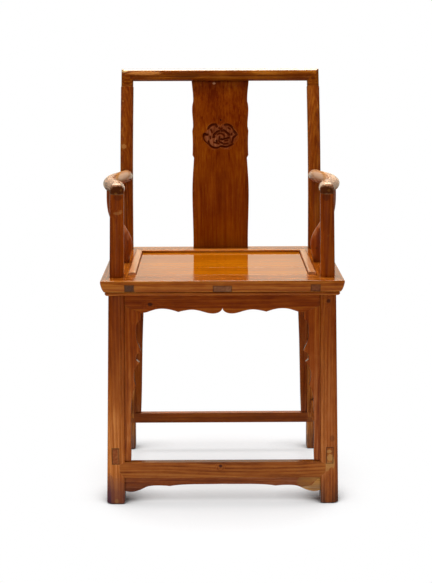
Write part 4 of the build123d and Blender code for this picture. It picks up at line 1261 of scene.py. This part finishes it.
@dataclass
class Studio:
    """Floor, lamps, world and camera.

    The focal length is in pixels of a frame of frame_height. Near the chair the floor is a shaded pool, whose
    shade leans away from the front. Reflections show a darker floor, a backdrop and a ceiling light, each
    between two strengths, and everything else is lit by the ambient light and the lamps.
    """

    focal: float = 1200.0
    frame_height: float = 583.0
    sensor: float = 36.0
    eye: Point = (-0.02716, -2.85396, 1.08297)
    right: Point = (0.99998, -0.00557, -0.00324)
    up: Point = (0.00435, 0.21206, 0.97725)
    forward: Point = (0.00476, 0.97724, -0.21208)
    floor_radius: float = 3.2
    floor_plain: Colour = (0.8, 0.8, 0.8)
    floor_lit: Colour = (0.36, 0.36, 0.365)
    floor_shine: Pair = (0.0, 0.66)
    pool_shift: Point = (0.0, 0.05, 0.0)
    pool_shape: Point = (1.0, 0.9, 0.0)
    pool_rim: Pair = (0.26, 0.42)
    shade_reach: float = 0.11
    shade_lean: Point = (0.0, -0.8, 0.0)
    floor_mirror_rim: Pair = (0.4, 1.6)
    floor_mirror: Pair = (0.14, 0.01)
    backdrop_way: Point = (0.0, 0.985, 0.17)
    ceiling_way: Point = (0.0, 0.34, 0.94)
    backdrop: Pair = (0.008, 0.80)
    ceiling: float = 13.0
    mirrored_tone: Colour = (0.98, 0.98, 0.80)
    ambient: float = 0.26
    lamps: tuple[Lamp, ...] = (
        Lamp("overhead", (0.0, 0.25, 2.5), 0.5, (2.2, 1.2), 62.0),
        Lamp("key", (-0.15, -1.2, 2.4), 0.4, (1.1, 0.9), 12.0),
        Lamp("left", (-0.5, -2.2, 0.5), 0.25, (0.5, 0.7), 5.0),
        Lamp("right", (0.5, -2.2, 0.5), 0.25, (0.5, 0.7), 2.0),
        Lamp("left side", (-2.2, -0.3, 1.3), 0.5, (1.2, 1.2), 8.0),
        Lamp("right side", (2.2, -0.3, 1.3), 0.5, (1.2, 1.2), 7.0),
    )

    def camera(self) -> None:
        """Set up the camera."""
        data = bpy.data.cameras.new("camera")
        data.sensor_width = self.sensor
        data.lens = self.focal / self.frame_height * self.sensor
        camera = placed("camera", data)
        columns = [Vector(self.right), Vector(self.up), -Vector(self.forward)]
        turn = Matrix([[column[row] for column in columns] for row in range(3)])
        camera.matrix_world = Matrix.Translation(self.eye) @ turn.to_4x4()
        bpy.context.scene.camera = camera

    def floor(self) -> None:
        """Lay a white floor with grey shade near the feet."""
        bm = bmesh.new()
        bmesh.ops.create_circle(bm, cap_ends=True, segments=96, radius=self.floor_radius)
        floor = placed("floor", meshed("floor", bm))
        material = bpy.data.materials.new("floor")
        floor.data.materials.append(material)
        net = Net(material)
        moved = net.vector("ADD", net.place(), self.pool_shift)
        far = net.length(net.vector("MULTIPLY", moved, self.pool_shape))
        leaning = net.vector("ADD", net.node("NewGeometry", output="Normal"), self.shade_lean)
        shade = {"Distance": self.shade_reach, "Normal": net.vector("NORMALIZE", leaning)}
        open_share = net.node("AmbientOcclusion", {"samples": 16}, shade, "AO")
        lit = net.node("BsdfDiffuse", {}, {"Color": self.floor_lit})
        shine = net.glow("Emission", net.step(open_share, 0.48, 0.97, *self.floor_shine))
        pool = net.node("AddShader", {}, {0: lit, 1: shine})
        white = net.glow("Emission", 1.0)
        seen = net.node("MixShader", {}, {0: net.step(far, *self.pool_rim), 1: pool, 2: white})
        mirrored = net.glow("Emission", net.step(far, *self.floor_mirror_rim, *self.floor_mirror))
        plain = net.node("BsdfDiffuse", {}, {"Color": self.floor_plain})
        net.by_ray("OutputMaterial", plain, mirrored, seen)

    def world(self) -> None:
        """Surround the chair with white, and its reflections with a backdrop and a ceiling light."""
        world = bpy.data.worlds.new("studio")
        bpy.context.scene.world = world
        net = Net(world)
        way = net.node("TexCoord", output="Generated")
        behind = net.vector("DOT_PRODUCT", way, self.backdrop_way, "Value")
        above = net.vector("DOT_PRODUCT", way, self.ceiling_way, "Value")
        rearward = net.step(net.axis(way, "Y"), 0.015, 0.07)
        shine = net.step(behind, 0.70, 0.92, *self.backdrop)
        shine = shine + net.step(above, 0.77, 0.88, 0.0, self.ceiling) * rearward
        mirrored = net.glow("Background", shine, self.mirrored_tone)
        lit = net.glow("Background", self.ambient)
        net.by_ray("OutputWorld", lit, mirrored, net.glow("Background", 1.0))

    def build(self) -> None:
        """Make the whole studio."""
        self.camera()
        self.floor()
        self.world()
        for lamp in self.lamps:
            lamp.hang()
        bpy.context.scene.view_settings.view_transform = "Standard"


def main() -> None:
    """Build the studio, then every assembly in order."""
    logging.basicConfig(level=logging.INFO, format="%(name)s %(message)s")
    Studio().build()
    assemblies: Iterable[Assembly] = (SeatFrame(), SeatBoards(), Posts(), Back(), Arms(), FootRails(),
                                      Panels())
    for assembly in assemblies:
        assembly.build()
        assembly.dress()
    medallion = Medallion()
    medallion.dress(medallion.build())


if __name__ == "__main__":
    main()
